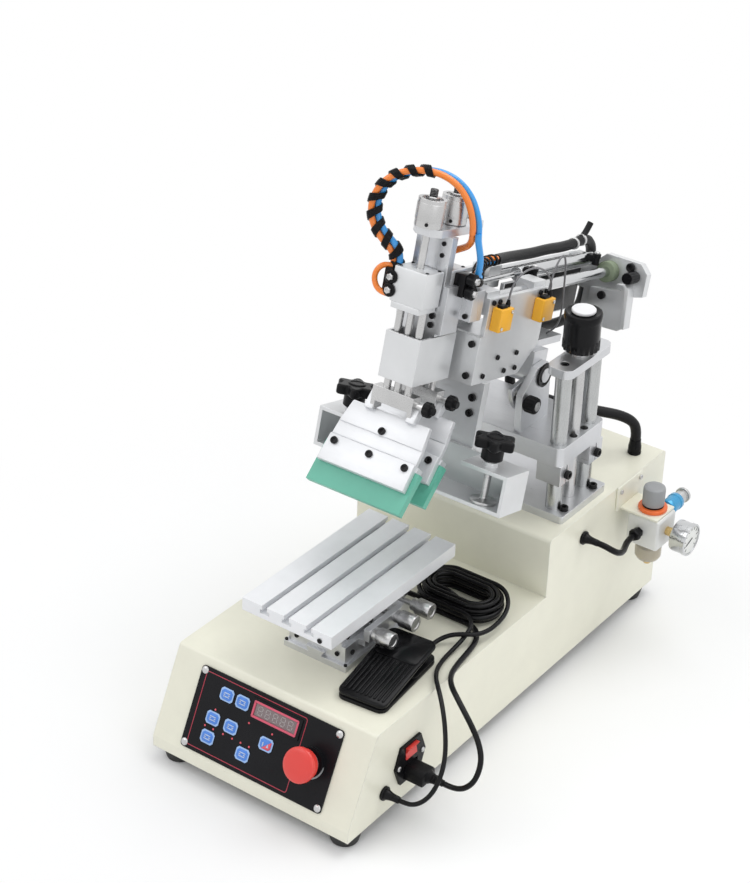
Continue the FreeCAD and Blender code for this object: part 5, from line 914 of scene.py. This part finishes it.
class PRESS_OT_stage_knobs(bpy.types.Operator):
    """The three knurled knobs of the stage and the screws of its blocks."""

    bl_idname = "press.stage_knobs"
    bl_label = "Stage knobs and screws"

    def execute(self, context):
        for way, y, start in (("y", 144.5, 43), ("x", 184, 14), ("theta", 212.5, 14)):
            bench = Bench(way + "_drive", STEEL, way + "_knob")
            bench.turned(way + "_knob_shaft", [(3, start), (3, 49), (6.6, 49), (7, 49.4), (7, 54.6), (6.6, 55)],
                         (0, y, 156.5), "x", 32)
            bench.turned(way + "_knob_grip", [(8.2, 55), (9, 55.8), (9, 72.2), (8.4, 73), (5.6, 73),
                                              (5.2, 72.4)], (0, y, 156.5), "x", 72, (55.7, 72.3, 0.95))
        for name, body, at, axis, radius, high in (
                ("base_screw", "base", ((-38, 38), (110.6, 226.4), 129.5), "z", 1.9, 1.8),
                ("slide_screw", "stage_y", (36, (124, 188, 213), 139), "x", 3, 1.8),
                ("saddle_screw", "stage_x", (31, (122, 162, 224), 157), "x", 3, 1.8),
                ("slide_end_screw", "stage_y", ((-26, 26), 112.5, 139), "-y", 2.6, 1.8),
                ("mount_screw", "table", (36, (126, 213), 179.8), "x", 2.8, 1.6),
                ("table_end_screw", "table", (42, 60.5, 190.6), "-y", 2.8, 1.2)):
            Bench(body).screws(name, at, axis, radius, high)
        return {"FINISHED"}


class PRESS_OT_column(bpy.types.Operator):
    """The screws of the column and the height knob."""

    bl_idname = "press.column"
    bl_label = "Column screws and height knob"

    def execute(self, context):
        base, lift = Bench("base"), Bench("lift", OXIDE)
        base.screws("plate_bolt", ((-111.5, 111.5), (403, 463), 200), "z", 4.8, 8.4)
        base.screws("post_bolt", ((-98, 98), (403, 463), 373), "z", 4.6, 4.7)
        lift.screws("clamp_bolt", (111, (402, 463), 249), "x", 5, 5)
        lift.screws("far_clamp_bolt", (-111, (402, 463), 249), "-x", 5, 5)
        lift.turned("slab_plug", [(4.4, 283.8), (4.4, 284.2), (3.8, 284.5)],
                    ((-103.6, 103.6), (424, 446), 0), sides=24)
        knob = Bench("height_drive", GLOSS, "height_knob")
        centre = (98, 433, 0)
        knob.turned("height_collar", [(10, 378), (10, 383.6), (9.6, 384)], centre, look=STEEL)
        knob.turned("height_grip", [
            (17.4, 384), (19.2, 384.6), (20.2, 386), (20.2, 396), (19.7, 397.6), (19.6, 417), (20.1, 419),
            (20.5, 421), (20.5, 426.4), (19.8, 427.6), (18, 428), (16.8, 427.4), (14, 427.2)], centre,
            sides=40, flutes=(384.5, 396.2, 0.92))
        knob.turned("height_cap", [(12.6, 427.8), (13, 428.3), (13, 430.2), (12.3, 431), (6, 431)], centre,
                    look=("cap white", "grey_plastic"))
        lock = Bench("tilt_lock", BLACK, "tilt_lock_knob")
        centre = (0, 399.98, 318)
        lock.turned("lock_grip", [(3, 40), (3, 56), (6.6, 56), (7.2, 57.2), (9.2, 58.2), (9.5, 59.4),
                                  (9.5, 67.6), (8.9, 69.4), (7.4, 70)], centre, "x", 28, (59, 68, 0.88))
        lift.turned("pivot_ring", [(13.2, 56), (13.6, 56.4), (13.6, 57.8), (13.2, 58.2), (11, 58.2),
                                   (10.8, 57)], (0, 433, 338), "x", look=GLOSS)
        lock.turned("lock_hub", [(5, 69.9), (5, 70.8), (4.2, 71.2)], centre, "x", 24, look=STEEL)
        return {"FINISHED"}


class PRESS_OT_arm(bpy.types.Operator):
    """The arm's screws and its two sensors with their lead."""

    bl_idname = "press.arm"
    bl_label = "Arm screws and sensors"

    def execute(self, context):
        bench = Bench("arm", BLACK, "stroke_sensors", ARM)
        bench.screws("front_bolt", ((-36, 36), -130, (13, 47)), "-y", 3.6, 3.4)
        near = [(-118, 92), (-106, 92), (-24, 92), (-12, 92), (-112, 12), (-70, 12), (-48, 12), (-88, 29),
                (-50, 29)]
        far = [spot for spot in near if spot != (-48, 12)]
        bench.screws("side_bolt", [(44, y, z) for y, z in near], "x", 2.8, 2.4)
        bench.screws("far_side_bolt", [(-44, y, z) for y, z in far], "-x", 2.8, 2.4)
        for name, y in (("front", -105), ("back", -20)):
            bench.block("sensor_" + name, (44, y - 12.5, 62.5), (56, y + 12.5, 87.5), 1.6, 3,
                        look=("sensor amber", "orange_plastic"))
            bench.block("sensor_cover_" + name, (46.5, y - 9, 86.5), (53.5, y + 3, 90.5), 0.8)
            bench.turned("sensor_exit_" + name, [(2.6, 86), (2.6, 91), (2, 93), (1.6, 95)], (50, y + 7, 0),
                         sides=24)
            bench.screws("sensor_screw_" + name, [(56, y - 8, 66.5), (56, y + 8, 83.5)], "x", 2, 1.2,
                         look=STEEL)
        for name, points in (
                ("sensor_lead", [
                    (50, -98, 94.5), (50, -98, 104), (50.5, -92, 116), (51, -76, 124), (51.5, -55, 125),
                    (51, -34, 119), (50.5, -20, 109), (50, -13, 101), (50, -13, 94.5)]),
                ("arm_lead", [
                    (49, -15, 94), (49, -14, 106), (48, -6, 124), (47, 6, 132), (46.5, 15, 122),
                    (47, 20, 100), (48, 24, 76), (47, 28, 56), (40, 33, 42), (30, 36, 34)])):
            bench.tube(name, points, 1.1, look=LEAD, nodes="")
        bench.screws("carrier_front_bolt", ((-37, 37), -109, (-31, -14)), "-y", 4.2, 3.6)
        return {"FINISHED"}


class PRESS_OT_stroke(bpy.types.Operator):
    """The stroke cylinder with its caps and fittings, and the end plate's screws."""

    bl_idname = "press.stroke"
    bl_label = "Stroke cylinder"

    def execute(self, context):
        bench = Bench("carriage", BLACK, "stroke_cylinder", ARM)
        bench.turned("stroke_barrel", [
            (7.4, -3), (8, -2.4), (8, 9), (7.6, 9.4), (7.6, 147.6), (8, 148), (8, 159.4), (7.6, 160)],
            (0, 0, 97), "y", look=("ground steel", "machined_aluminium"))
        for name, y in (("front", 7.5), ("back", 145.5)):
            bench.block("stroke_port_" + name, (4, y - 4.5, 98), (14, y + 4.5, 105.5), 0.8)
            bench.turned("stroke_elbow_" + name, [(4.2, 95), (4.2, 103), (4.9, 103.4), (4.9, 107.6),
                                                  (4.2, 108)], (15, y, 0), sides=28)
            bench.turned("stroke_ring_" + name, [(3.2, 107.9), (3.2, 109.6), (2.8, 110)], (15, y, 0),
                         sides=24, look=STEEL)
        bench = Bench("carriage", PLATE, "", ARM)
        bench.screws("end_bolt", [(-28, 170, 90), (28, 170, 90), (52, 170, 78), (64, 170, 99), (18, 170, 40)],
                     "y", 4.2, 3.4)
        bench.screws("end_front_bolt", (53, 160, 101), "-y", 5.2, 4)
        bench.turned("bumper_ring", [(11, 148.6), (12, 149.4), (12, 159.4), (11.4, 160)], (28, 0, 90), "y", 40,
                     look=("felt green", "rubber"))
        bench.turned("stop_shaft", [(6.3, 140), (6.9, 140.8), (6.9, 159), (6.3, 160)], (60, 0, 92), "y", 32,
                     (140.7, 159.1, 0.88), look=GLOSS)
        bench.outlined("end_bracket", [(10, 67), (11, 40), (27, 28.5), (36, 26), (54, 27), (62, 33), (56, 75)],
                       -160.5, -154.5, 1.2, "-y")
        bench.outlined("end_flange", [(56.5, 75), (62.5, 33), (66.5, 33.6), (62.5, 78), (57, 84), (46, 82),
                                      (46, 78)], -160.5, -146, 0.9, "-y")
        bench.screws("bracket_bolt", (27, 154.5, 62), "-y", 4.8, 3.6)
        # A thin black plate fills the dark opening below the guide rods: painted shade.
        bench.block("web_cover", (-12.3, -8, 37), (-7.7, 159.5, 83.6), 0.8, look=BLACK)
        return {"FINISHED"}


class PRESS_OT_head(bpy.types.Operator):
    """The head's cups, studs, nuts, air fittings and screws."""

    bl_idname = "press.head"
    bl_label = "Head fittings"

    def execute(self, context):
        thread = rings(7, 1.5, [(4.15, 195.4), (4.02, 195.9), (4.02, 196.2), (4.15, 196.7)])
        for body, y in (("squeegee", SQUEEGEE_Y), ("flood", FLOOD_Y)):
            bench = Bench(body, STEEL, "", ARM)
            cup, yoke = (0, y, 0), (0, y, -12)
            bench.turned(body + "_cup_knurl", [(14.55, 175), (14.8, 175.6), (14.8, 192.4), (14.55, 193)], cup,
                         sides=96, flutes=(175.5, 192.5, 0.985))
            bench.turned(body + "_stud", [(4.15, 194.8), *thread, (4.15, 205.8), (3.6, 206.3)], cup, sides=24,
                         look=OXIDE)
            bench.turned(body + "_nut", [(6.6, 194.9), (7.2, 195.4), (7.2, 198.4), (6.6, 199)], cup, sides=6)
            bench.screws(body + "_cup_screw", (6, y - 13.2, 172.4), "-y", 1.9, 1)
            bench.turned(body + "_thumb", [(7.4, 36), (8.2, 36.8), (8.2, 42.6), (7.2, 43.6), (4.4, 43.8),
                                           (4.2, 46.8), (3.6, 47.4)], yoke, "x", 24, (36.6, 42.8, 0.88),
                         look=BLACK)
            bench.turned(body + "_thumb_collar", [(3.6, 19.8), (3.6, 32.6), (4.8, 33), (4.8, 36)], yoke, "x",
                         24)
            bench.screws(body + "_yoke_bolt", (-25, y, -12), "-x", 2.8, 2.4)
            bench.screws(body + "_rod_nut", ((-13, 13), y, 120), "z", 4.6, 2.6)
        bench = Bench("carriage", GLOSS, "head_cylinders", ARM)
        bench.screws("top_plate_bolt", ((-10.5, 10.5), -132, 168), "z", 2.6, 1.4)
        # A thin black film in the outline of the top plate's slot: painted shade in place of its hollow.
        bench.outlined("top_plate_slot", corner_points((-7, -119), (7, -112), 3.4), 167.9, 168.3, 0.1,
                       look=BLACK, nodes="")
        bench.screws("spine_bolt", ((-12, 12), -182, (140, 152)), "-y", 2.4, 1.4)
        bench.screws("spine_low_bolt", (14, -182, (68, 77.5)), "-y", 3.2, 2.4)
        bench.screws("block_bolt", ((-34, 34), -152, (79, 101)), "-y", 2.8, 2.2)
        bench.block("valve_block_left", (-34, -210, 91), (-19.6, -191, 119), 1.6)
        bench.block("valve_block_right", (19.6, -164, 99), (33, -147, 123), 1.6)
        for name, spot, axis in (("left_low", (-21.5, -206, 98.2), "-y"), ("left_high", (-21.5, -206, 112), "-y"),
                                 ("right_low", (31, -156, 105), "x"), ("right_high", (31, -156, 118), "x")):
            bench.turned("valve_body_" + name, [(4.6, 0), (4.6, 2), (7.1, 2.4), (7.1, 9.6), (6.2, 10.4)], spot,
                         axis, 32)
            bench.turned("valve_needle_" + name, [(3.9, 10), (3.9, 12.6), (3.2, 13.4), (2.2, 13.4), (2, 12.4)],
                         spot, axis, 6, look=STEEL)
        for name, spot in (("left", (-28, -199, 117)), ("right", (36.5, -147, 112))):
            bench.turned("tube_socket_" + name, [(5.6, 0), (6.2, 0.6), (6.2, 6.4), (5.6, 7)], spot, sides=28)
        for name, y in (("front", SQUEEGEE_Y), ("back", FLOOD_Y)):
            bench.block("cylinder_" + name, (-20, y - 15.5, 88), (20, y + 15.5, 125), 1.4, look=PLATE)
            bench.block("cylinder_foot_" + name, (-17, y - 15.5, 82), (17, y + 15.5, 88.4), 0.7, look=PLATE)
            bench.screws("cylinder_bolt_" + name, ((-16, 16), (y - 11, y + 11), 125), "z", 1.9, 0.8)
        return {"FINISHED"}


class PRESS_OT_holders(bpy.types.Operator):
    """The stepped cover plates, ears and screws of the squeegee and the flood bar."""

    bl_idname = "press.holders"
    bl_label = "Blade holders"

    def execute(self, context):
        for body, place in (("squeegee", SQUEEGEE_PLATE), ("flood", FLOOD_PLATE)):
            bench = Bench(body, HOLDER, "", place)
            for name, top, low, half_top, half_low, depth in (
                    ("_plate_top", -1, -25.4, 47.6, 51.6, 1.2), ("_plate_band", -26, -40.4, 51.7, 52.5, 0.7),
                    ("_plate_clamp", -41, -70.8, 52.5, 53.6, 3)):
                bench.outlined(body + name, [(-half_top, top), (-half_low, low), (half_low, low),
                                             (half_top, top)], -0.3, depth, 0.5, "-y")
            bench.screws(body + "_plate_bolt", (0, -0.2, -21), "-y", 4, 3.6)
            bench.screws(body + "_cover_bolt", ((-44, 0, 44), -2.6, -48), "-y", 4, 2.8)
            bench.block(body + "_ear", (-31, -6.5, -4), (-20.6, 3.5, 18), 1, at=((-25.8, 25.8), 0, 0))
        return {"FINISHED"}


class PRESS_OT_clamps(bpy.types.Operator):
    """The two star knobs that hold a screen frame."""

    bl_idname = "press.clamps"
    bl_label = "Frame clamps"

    def execute(self, context):
        lobes = []
        for degree in range(0, 360, 5):
            angle = math.radians(degree)
            reach = 19.4 + 3.6 * math.cos(6 * angle)
            lobes.append((reach * math.cos(angle), reach * math.sin(angle)))
        thread = rings(20, 2, [(4, -101), (3.65, -100.5), (4, -100)])
        for side, x in (("left", -88), ("right", 88)):
            bench = Bench("clamp_" + side, BLACK, "frame_clamp_" + side, ARM @ Matrix.Translation((x, -137, 0)))
            star = bench.outlined("star_" + side, lobes, -46.5, -35.4, 0)
            bevelled(star, 2.4, 3, 50)
            bench.turned("star_neck_" + side, [(10.6, -60), (11.6, -59), (11.6, -47.5), (12.4, -45.8)])
            bench.turned("star_hub_" + side, [(9.5, -35.6), (9.5, -34.8), (8.6, -34.2), (7.4, -34.1),
                                              (7, -34.9)], sides=40)
            bench.turned("star_screw_" + side, [(14, -106.7), (14, -104.3), (13.2, -103.7), (5.4, -103.1),
                                                (4, -102), *thread, (4, -60), (6.4, -60)], sides=28, look=STEEL)
        Bench("arm", place=ARM).screws("carrier_bolt", ((-36, 36), -109, (-92, -76)), "y", 3.4, 2.8)
        return {"FINISHED"}


class PRESS_OT_air(bpy.types.Operator):
    """The air unit: regulator, bowl, gauge, sliding valve and bracket."""

    bl_idname = "press.air"
    bl_label = "Air unit"

    def execute(self, context):
        bench = Bench("base", ("cast body", "air_body"), "air_regulator")
        bench.block("unit_body", (140, 497, 128), (180, 537, 166), 3.6, 4)
        bench.block("unit_bracket", (127, 490, 166), (130, 544, 196), 1.2, look="cream paint")
        bench.block("unit_shelf", (127, 497, 166), (177, 537, 169), 1.2, look="cream paint")
        bench.screws("bracket_screw", (130, (496, 538), 189), "x", 2.8, 2, ZINC)
        centre = (160, 517, 0)
        bench.turned("unit_neck", [(12, 166), (12, 175.6)], centre, look=BLACK)
        bench.turned("unit_ring", [(15.2, 169), (16.5, 170), (16.5, 173), (15.4, 174)], centre,
                     flutes=(169.8, 173.2, 0.97), look=("ring orange", "orange_plastic"))
        bench.turned("unit_knob", [(12, 176), (12.5, 176.6), (12.5, 194.8), (11.9, 197), (10.4, 198), (6, 198)],
                     centre, sides=64, flutes=(176.5, 194.9, 0.955), body="pressure_knob", look=GREY,
                     nodes="regulator_knob")
        bench.turned("unit_bowl", [(9, 104), (12.6, 105.6), (14.8, 109.6), (15, 113), (15, 128)], centre,
                     look="clear bowl")
        bench.turned("unit_element", [(6, 106.5), (10.5, 108.5), (11.5, 112), (11.5, 121), (4, 121.5),
                                      (4, 127.8)], centre, sides=32, look="element beige")
        bench.turned("unit_drain", [(2.6, 97), (4, 98), (4, 102), (3, 102.6), (3, 104.4)], centre, sides=24,
                     flutes=(97.9, 102.1, 0.9), look="brass")
        bench.turned("unit_port", [(6.4, 485), (7, 485.8), (7, 491.4), (6, 492), (6, 497.2)], (156, 0, 147),
                     "y", 6, look=BLACK)
        bench.turned("valve_core", [(7, 536.8), (7, 542.8), (9, 543), (9, 546), (7, 546.2), (7, 587.8),
                                    (9, 588), (9, 591), (5, 591.2)], (160, 0, 152), "y", look="turned steel")
        bench.turned("valve_sleeve_grip", [
            (7.2, 551), (9.4, 551), (10, 551.8), (10, 557), (9.4, 557.6), (9.4, 569), (10, 569.6),
            (10, 574.2), (9.4, 575), (7.2, 575)], (160, 0, 152), "y", flutes=(557.5, 569.1, 0.96),
            body="valve_sleeve", look=("sleeve blue", "blue_plastic"), nodes="slide_valve")
        centre = (0, 517, 148)
        bench.turned("gauge_stem", [(5, 179.6), (5, 186), (6.4, 186.2), (6.4, 192.2)], centre, "x", 6,
                     look="brass")
        gauge = Bench("base", BLACK, "pressure_gauge")
        gauge.turned("gauge_case", [
            (15.5, 192), (17.4, 192.6), (18.2, 195), (18.2, 207), (19, 207.6), (19, 211.4), (18.2, 212),
            (16.8, 212), (16.5, 210.4), (14, 210.2)], centre, "x", 64, look=("ground steel", "steel"))
        gauge.turned("gauge_dial", [(16.4, 209.8), (16.4, 210.6), (12, 210.7)], centre, "x", 64,
                     look=("dial pale", "air_body"))
        for number in range(11):
            gauge.place = turned_about(centre, -45 + 27 * number)
            gauge.block("gauge_mark_%d" % (number + 1), (210.6, 12, -0.35), (210.95, 15, 0.35), 0.05)
        gauge.place = turned_about(centre, 200)
        gauge.block("gauge_needle", (210.9, -3.5, -0.5), (211.3, 11, 0.5), 0.1)
        return {"FINISHED"}


def turned_about(centre, degrees):
    """The casing's frame moved to a centre and turned about its x axis."""
    return CASING @ Matrix.Translation(centre) @ Matrix.Rotation(math.radians(degrees), 4, "X")


PALE_FLOOR = (0.95, 0.95, 0.95, 1)
FLOOR_FADE = (0.28, 0.72)
SKY_COLOUR = (0.86, 0.87, 0.88, 1)
SKY_STRENGTH = 0.72
# Name, place, target, size and power.
LAMPS = [
    ("key", (-1.5, -1.5, 2.5), (0, -0.1, 0.2), 2.2, 20),
    ("fill", (2.3, -0.9, 1.7), (0, 0, 0.25), 1.8, 8),
    ("top", (0.5, 0.9, 2.6), (0, 0.1, 0.2), 2, 30),
]
# The camera as solved from the photo, its angles in degrees.
CAMERA_PLACE = (1.0552, -1.67637, 1.4534)
AZIMUTH, ELEVATION, ROLL = 35.12, 30.29, 2.04
SENSOR, FOCAL_PIXELS, PHOTO_PIXELS = 36.0, 2189.4, 883.0


def either_shader(tree, first, second, share, output):
    """Two shaders in the shares of a mask, on the output of their tree."""
    mixed = add(tree, "MixShader", {"Fac": share, 1: first.outputs[0], 2: second.outputs[0]})
    feed(tree, tree.nodes[output], {"Surface": mixed.outputs[0]})


def seen_ray(tree):
    """One where the ray comes from the camera, a mirror or a glass."""
    rays = add(tree, "LightPath").outputs
    either = maths(tree, "MAXIMUM", rays["Is Camera Ray"], rays["Is Glossy Ray"])
    return maths(tree, "MAXIMUM", either, rays["Is Transmission Ray"])


class PRESS_OT_stage(bpy.types.Operator):
    """Pale floor, soft studio light and the camera."""

    bl_idname = "press.stage"
    bl_label = "Stage"

    def execute(self, context):
        scene = context.scene
        clear()
        bpy.ops.mesh.primitive_plane_add(size=12, location=(0, 0, -0.0002))
        floor = bpy.context.object
        floor.name = "floor"
        pale = bpy.data.materials.new("pale floor")
        pale.use_nodes = True
        tree = pale.node_tree
        shader = tree.nodes["Principled BSDF"]
        feed(tree, shader, {"Base Color": PALE_FLOOR, "Roughness": 0.9, "Specular IOR Level": 0.1})
        white = add(tree, "Emission")
        place = add(tree, "TexCoord").outputs["Object"]
        reach = add(tree, "VectorMath", {0: place}, operation="LENGTH").outputs["Value"]
        fade = add(tree, "MapRange", {"Value": reach, "From Min": FLOOR_FADE[0], "From Max": FLOOR_FADE[1]},
                   interpolation_type="SMOOTHSTEP")
        share = maths(tree, "MULTIPLY", fade.outputs["Result"], seen_ray(tree))
        either_shader(tree, shader, white, share, "Material Output")
        floor.data.materials.append(pale)

        world = bpy.data.worlds.new("studio")
        world.use_nodes = True
        scene.world = world
        tree = world.node_tree
        sky = tree.nodes["Background"]
        feed(tree, sky, {"Color": SKY_COLOUR, "Strength": SKY_STRENGTH})
        seen = add(tree, "Background", {"Color": (1, 1, 1, 1), "Strength": 1})
        either_shader(tree, sky, seen, seen_ray(tree), "World Output")

        for name, place, target, size, power in LAMPS:
            lamp = bpy.data.lights.new(name, "AREA")
            lamp.size = size
            lamp.energy = power
            holder = bpy.data.objects.new(name, lamp)
            holder.location = place
            holder.rotation_euler = (Vector(target) - Vector(place)).to_track_quat("-Z", "Y").to_euler()
            scene.collection.objects.link(holder)

        azimuth, elevation, roll = (math.radians(angle) for angle in (AZIMUTH, ELEVATION, ROLL))
        back = Vector((math.sin(azimuth) * math.cos(elevation), -math.cos(azimuth) * math.cos(elevation),
                       math.sin(elevation)))
        right = Vector((0, 0, 1)).cross(back).normalized()
        up = back.cross(right)
        level = right * math.cos(roll) + up * math.sin(roll)
        top = up * math.cos(roll) - right * math.sin(roll)
        lens = bpy.data.cameras.new("camera")
        lens.lens = SENSOR * FOCAL_PIXELS / PHOTO_PIXELS
        lens.sensor_fit = "VERTICAL"
        lens.sensor_height = SENSOR
        lens.clip_end = 30
        camera = bpy.data.objects.new("camera", lens)
        camera.matrix_world = Matrix.Translation(CAMERA_PLACE) @ Matrix(
            (level, top, back)).transposed().to_4x4()
        scene.collection.objects.link(camera)
        scene.camera = camera
        scene.view_settings.view_transform = "Standard"
        return {"FINISHED"}


STEPS = [
    PRESS_OT_finishes, PRESS_OT_stage, PRESS_OT_plugs, PRESS_OT_cords, PRESS_OT_hoses, PRESS_OT_loop,
    PRESS_OT_glands, PRESS_OT_pedal, PRESS_OT_panel, PRESS_OT_stop, PRESS_OT_stage_knobs, PRESS_OT_column,
    PRESS_OT_arm, PRESS_OT_stroke, PRESS_OT_head, PRESS_OT_holders, PRESS_OT_clamps, PRESS_OT_air,
]


class PRESS_PT_panel(bpy.types.Panel):
    """Lists the steps that finish the press."""

    bl_idname = "PRESS_PT_panel"
    bl_label = "Screen press"
    bl_space_type = "VIEW_3D"
    bl_region_type = "UI"
    bl_category = "Screen press"

    def draw(self, context):
        for name in PressSettings.__annotations__:
            self.layout.prop(context.scene.press, name)
        for step in STEPS:
            self.layout.operator(step.bl_idname)


def register():
    for kind in [PressSettings, *STEPS, PRESS_PT_panel]:
        bpy.utils.register_class(kind)
    bpy.types.Scene.press = PointerProperty(type=PressSettings)


def unregister():
    del bpy.types.Scene.press
    for kind in reversed([PressSettings, *STEPS, PRESS_PT_panel]):
        bpy.utils.unregister_class(kind)


def main():
    """Run every step in order."""
    register()
    for step in STEPS:
        area, name = step.bl_idname.split(".")
        getattr(getattr(bpy.ops, area), name)()
    clear()


if __name__ == "__main__":
    main()
